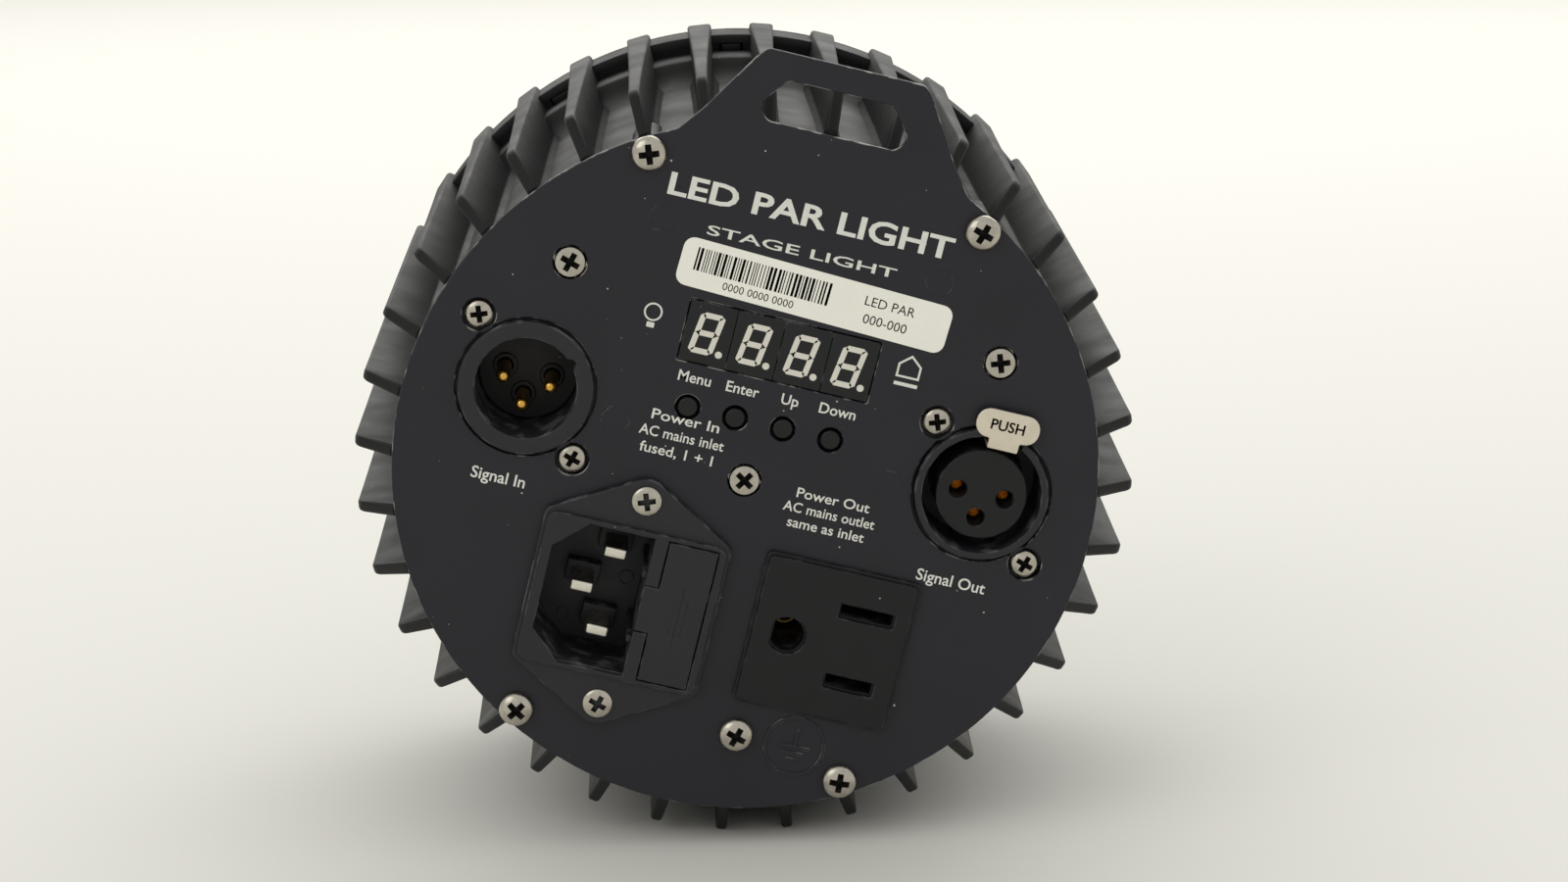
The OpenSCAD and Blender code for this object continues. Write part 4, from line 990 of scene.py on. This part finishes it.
# ---- display, buttons, label, print ----
def digit_bars():
    """Outlines of the seven bars of one digit and its point, about the digit's centre."""
    width, height, thick, lean = 4.2, 7.1, 0.95, math.tan(math.radians(8))
    bars = []
    for x, z, upright in ((0, 1, 0), (0, 0, 0), (0, -1, 0), (-1, 0.5, 1), (1, 0.5, 1), (-1, -0.5, 1), (1, -0.5, 1)):
        half = height / 4 - 0.35 if upright else width / 2 - 0.75
        tip = thick / 2
        middle = Vector((x * (width / 2 - tip) - 0.25, z * (height / 2 - tip)))
        bar = [(-half, -tip), (half, -tip), (half + tip * 0.7, 0), (half, tip), (-half, tip), (-half - tip * 0.7, 0)]
        points = [middle + Vector(p[::-1] if upright else p) for p in bar]
        bars.append([Vector((p.x + p.y * lean, p.y)) for p in points])
    bars.append(circle((width / 2 + 0.35, 0.5 - height / 2), 0.6, 24))
    return bars


class PARLIGHT_OT_display(bpy.types.Operator):
    """Build the four digit modules and their light bars"""

    bl_idname = "par_light.display"
    bl_label = "Display"

    def execute(self, context):
        bars = bmesh.new()
        for i, (low, high) in enumerate(DIGITS, 1):
            middle = ((low.x + high.x) / 2, (low.z + high.z) / 2)
            bm = bmesh.new()
            add_block(bm, low, high, 0.14, 2)
            add_piece(f"digit_module_{i}", bm, ["resin"], stands_for=[f"display_digit_{i}"])
            for bar in digit_bars():
                add_plate(bars, moved(bar, middle), low.y - 0.025, low.y + 0.3, bevel=0.02, steps=0)
        add_piece("digit_light_bars", bars, ["segment"], stands_for=["display_segments"])
        return {"FINISHED"}


class PARLIGHT_OT_buttons(bpy.types.Operator):
    """Build the four push buttons"""

    bl_idname = "par_light.buttons"
    bl_label = "Buttons"

    def execute(self, context):
        for name, at in BUTTONS.items():
            low, high = lamp_box("button_" + name)
            r = (high.x - low.x) / 2
            bm = bmesh.new()
            add_turned(bm, soft_profile([(0, low.y, 0), (r * 0.97, low.y, 0.4), (r, low.y + 1.2, 0.1), (r, high.y, 0.1),
                                         (0, high.y, 0)]), at, 40)
            add_piece(name + "_cap", bm, ["button"], name + "_button", ["button_" + name])
        return {"FINISHED"}


class PARLIGHT_OT_label(bpy.types.Operator):
    """Build the vinyl label with plain bars and zeros"""

    bl_idname = "par_light.label"
    bl_label = "Label"

    def execute(self, context):
        low, high = lamp_box("label_sticker")
        at = ((low.x + high.x) / 2, (low.z + high.z) / 2)
        tilt = Matrix.Translation((at[0], 0, at[1])) @ Matrix.Rotation(math.radians(2.1), 4, "Y")
        bm = bmesh.new()
        add_plate(bm, rectangle((0, 0), 46, 8.2, 1.8), low.y, high.y, bevel=0.05, steps=1)
        bmesh.ops.transform(bm, matrix=tilt, verts=bm.verts)
        add_piece("vinyl_label", bm, ["label"], stands_for=["label_sticker"])
        bm = bmesh.new()
        face = low.y + 0.002
        chance = random.Random(SEED)
        x = -20.5
        while x < 2.5:
            width = chance.choice((0.18, 0.18, 0.3, 0.45))
            add_block(bm, (x, face - 0.002, -1.2), (x + width, face + 0.02, 2.7), 0.003, 1)
            x += width + chance.choice((0.22, 0.22, 0.36))
        add_text(bm, "0000 0000 0000", (-9, -2.6), 1.3, face - 0.002, face + 0.02)
        add_text(bm, "LED PAR", (12.5, 1.4), 1.6, face - 0.002, face + 0.02)
        add_text(bm, "000-000", (12.5, -1.6), 1.6, face - 0.002, face + 0.02)
        bmesh.ops.transform(bm, matrix=tilt, verts=bm.verts)
        add_piece("label_print", bm, ["label_ink"])
        return {"FINISHED"}


class PARLIGHT_OT_print(bpy.types.Operator):
    """Print the plain words and marks on the rear panel"""

    bl_idname = "par_light.print"
    bl_label = "Panel print"

    def execute(self, context):
        words = context.scene.par_light_panel
        bm = bmesh.new()
        for name, (x, z) in BUTTONS.items():
            add_text(bm, name.capitalize(), (x, z + 5.0), 1.8, bold=0.03)
        add_text(bm, "Signal In", (XLR_IN[0] - 1, XLR_IN[1] - 16.1), 2.0, bold=0.03)
        add_text(bm, "Signal Out", (XLR_OUT[0] - 1.2, XLR_OUT[1] - 16.0), 2.0, bold=0.03)
        for i, (line, width) in enumerate((("Power In", 11.5), ("AC mains inlet", 14.4), ("fused, 1 + 1", 12.4))):
            add_text(bm, line, (-11.9, 6.4 - 2.9 * i), 1.75, bold=0.025, width=width)
        for i, (line, width) in enumerate((("Power Out", 12.5), ("AC mains outlet", 15.7), ("same as inlet", 13.2))):
            add_text(bm, line, (15.2, -1.2 - 2.6 * i), 1.7, bold=0.025, width=width)
        add_text(bm, words.title, (0, 44.6), 3.6, bold=0.12, width=48)
        add_text(bm, words.subtitle, (0, 38.6), 1.6, bold=0.02, width=32)
        # lamp and house signs: a plain light glyph and indoor use
        left, right = (-21.4, 22.5), (22.1, 23.6)
        add_plate(bm, circle((left[0], left[1] + 0.7), 1.55, 40), -0.03, 0.005,
                  [circle((left[0], left[1] + 0.7), 1.25, 40)], 0.004, 0)
        add_plate(bm, rectangle((left[0], left[1] - 1.5), 1.3, 0.9, 0.15), -0.03, 0.005, bevel=0.004, steps=0)
        house = [(-2.0, -1.6), (2.0, -1.6), (2.0, 0.7), (0, 2.4), (-2.0, 0.7)]
        inner = [(-1.65, -1.25), (1.65, -1.25), (1.65, 0.55), (0, 1.95), (-1.65, 0.55)]
        add_plate(bm, moved(house, right), -0.03, 0.005, [moved(inner, right)], 0.004, 0)
        add_plate(bm, rectangle((right[0], right[1] - 2.7), 4.0, 0.6, 0.05), -0.03, 0.005, bevel=0.004, steps=0)
        add_piece("panel_print", bm, ["ink"])
        bm = bmesh.new()
        # clinched studs behind the sheet show through the coat as faint hexagons
        for x, z in ((-23.4, 38.9), (23.4, 38.9), (-23.4, 3.8), (23.4, 3.8)):
            hexagon = [(x + 2.6 * math.cos(t), z + 2.6 * math.sin(t)) for t in (math.pi / 3 * k for k in range(6))]
            inside = [(x + 2.42 * math.cos(t), z + 2.42 * math.sin(t)) for t in (math.pi / 3 * k for k in range(6))]
            add_plate(bm, hexagon, -0.04, 0.02, [inside], 0.015, 0)
        # the earth sign is stamped in the sheet, and takes the coat's colour
        at = (EARTH[0] + 10.15, EARTH[1] + 0.15)
        add_plate(bm, circle(at, 5.35, 64), -0.22, 0.02, [circle(at, 4.75, 64)], 0.1, 1)
        add_plate(bm, rectangle((at[0], at[1] + 1.6), 0.6, 3.0, 0.1), -0.22, 0.02, bevel=0.1, steps=1)
        for i, half in enumerate((2.7, 1.8, 0.9)):
            add_plate(bm, rectangle((at[0], at[1] - 0.1 - 1.15 * i), 2 * half, 0.6, 0.1), -0.22, 0.02,
                      bevel=0.1, steps=1)
        add_piece("stamped_marks", bm, ["coat"])
        return {"FINISHED"}


INSIDE = {
    "led_board": "white_mask", "heat_sink": "aluminium", "heat_sink_screws": "nickel",
    "lens_plate_posts": "brass", "lens_plate_screws": "nickel", "earth_nut": "nickel",
    "board_standoffs": "nickel", "fuse_contacts": "brass", "switch_bodies": "chip",
    "control_board": "green_mask", "controller_chips": "chip", "power_board": "green_mask",
    "power_board_posts": "brass", "transformer": "ferrite", "capacitors": "sleeve",
    "mains_leads": "brown_pvc", "led_leads": "red_pvc", "signal_leads": "blue_pvc",
    "led_emitter_1": "phosphor", "led_emitter_2": "phosphor", "led_emitter_3": "phosphor",
}


class PARLIGHT_OT_inside(bpy.types.Operator):
    """Finish the parts inside the housing"""

    bl_idname = "par_light.inside"
    bl_label = "Inside parts"

    def execute(self, context):
        for name, look in INSIDE.items():
            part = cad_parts[name]
            part.data.materials.clear()
            part.data.materials.append(finish(look))
            if name in ("heat_sink", "transformer", "controller_chips", "switch_bodies"):
                bevel = part.modifiers.new("softened edges", "BEVEL")
                bevel.width, bevel.segments, bevel.limit_method = 0.0002, 2, "ANGLE"
        return {"FINISHED"}


# ---- stage ----
def add_light(name, at, aim, size, watts, colour):
    """Large soft light that the camera doesn't see."""
    light = bpy.data.lights.new(name, "AREA")
    light.shape, light.size, light.size_y = "RECTANGLE", size[0], size[1]
    light.energy, light.color = watts, colour[:3]
    holder = bpy.data.objects.new(name, light)
    holder.location = at
    holder.rotation_euler = (Vector(aim) - Vector(at)).to_track_quat("-Z", "Y").to_euler()
    holder.visible_camera = False
    bpy.context.scene.collection.objects.link(holder)


class PARLIGHT_OT_stage(bpy.types.Operator):
    """Set the plain pale floor, the soft lights and the camera"""

    bl_idname = "par_light.stage"
    bl_label = "Floor, lights and camera"

    def execute(self, context):
        scene, look = context.scene, context.scene.par_light_stage
        scene.view_settings.view_transform = "Standard"
        bm = bmesh.new()
        bmesh.ops.create_circle(bm, cap_ends=True, segments=96, radius=9.0)
        mesh = bpy.data.meshes.new("floor")
        bm.to_mesh(mesh)
        bm.free()
        mesh.materials.append(surface("Matt paper sweep", look.floor_colour, 0.85, cloud=(400, 0.01),
                                      grain=(3, 0.004)))
        floor = bpy.data.objects.new("floor", mesh)
        scene.collection.objects.link(floor)
        world = scene.world or bpy.data.worlds.new("soft daylight")
        scene.world = world
        world.use_nodes = True
        background = world.node_tree.nodes["Background"]
        background.inputs["Color"].default_value = hex_colour("#f6f5f0")
        background.inputs["Strength"].default_value = look.sky
        target = LAMP @ Vector((0, 30, 0))
        add_light("back softbox", (0.1, 1.0, 0.85), target, (1.8, 1.1), look.back_power, hex_colour("#fffefa"))
        add_light("key softbox", (-0.9, -0.9, 1.0), target, (0.9, 0.9), look.key_power, hex_colour("#fffdf8"))
        az, el = look.azimuth, look.elevation
        forward = Vector((math.sin(az) * math.cos(el), math.cos(az) * math.cos(el), -math.sin(el)))
        level = Vector((math.cos(az), -math.sin(az), 0))
        upright = level.cross(forward)
        right = level * math.cos(look.roll) + upright * math.sin(look.roll)
        up = upright * math.cos(look.roll) - level * math.sin(look.roll)
        aim = LAMP @ Vector((4.8, 0, 6.9))
        data = bpy.data.cameras.new("camera")
        data.lens, data.sensor_width, data.clip_start = look.lens, 36.0, 0.01
        camera = bpy.data.objects.new("camera", data)
        turn = Matrix((right, up, -forward)).transposed().to_4x4()
        camera.matrix_world = Matrix.Translation(aim - forward * look.distance) @ turn
        scene.collection.objects.link(camera)
        scene.camera = camera
        return {"FINISHED"}


OPERATORS = [PARLIGHT_OT_stage, PARLIGHT_OT_housing, PARLIGHT_OT_front, PARLIGHT_OT_optics, PARLIGHT_OT_panel,
             PARLIGHT_OT_screws, PARLIGHT_OT_signal_in, PARLIGHT_OT_signal_out, PARLIGHT_OT_inlet,
             PARLIGHT_OT_fuse_drawer, PARLIGHT_OT_outlet, PARLIGHT_OT_display, PARLIGHT_OT_buttons,
             PARLIGHT_OT_label, PARLIGHT_OT_print, PARLIGHT_OT_inside]
SETTINGS = {"par_light_look": ParLightLook, "par_light_housing": ParLightHousing,
            "par_light_panel": ParLightPanel, "par_light_stage": ParLightStage}


class PARLIGHT_PT_sidebar(bpy.types.Panel):
    """Lists the pieces of the par light"""

    bl_idname = "PARLIGHT_PT_sidebar"
    bl_label = "LED par light"
    bl_space_type = "VIEW_3D"
    bl_region_type = "UI"
    bl_category = "Par light"

    def draw(self, context):
        for operator in OPERATORS:
            self.layout.operator(operator.bl_idname)
        for name, group in SETTINGS.items():
            box = self.layout.box()
            box.label(text=group.__doc__)
            for prop in group.__annotations__:
                box.prop(getattr(context.scene, name), prop)


def register():
    """Adds the settings, the operators and the panel."""
    for name, group in SETTINGS.items():
        bpy.utils.register_class(group)
        setattr(bpy.types.Scene, name, PointerProperty(type=group))
    for made in (*OPERATORS, PARLIGHT_PT_sidebar):
        bpy.utils.register_class(made)


def unregister():
    """Takes away what register added."""
    for made in (PARLIGHT_PT_sidebar, *reversed(OPERATORS)):
        bpy.utils.unregister_class(made)
    for name, group in SETTINGS.items():
        delattr(bpy.types.Scene, name)
        bpy.utils.unregister_class(group)


def main():
    """Builds every piece in order."""
    register()
    for operator in OPERATORS:
        group, name = operator.bl_idname.split(".")
        getattr(getattr(bpy.ops, group), name)()


if __name__ == "__main__":
    main()
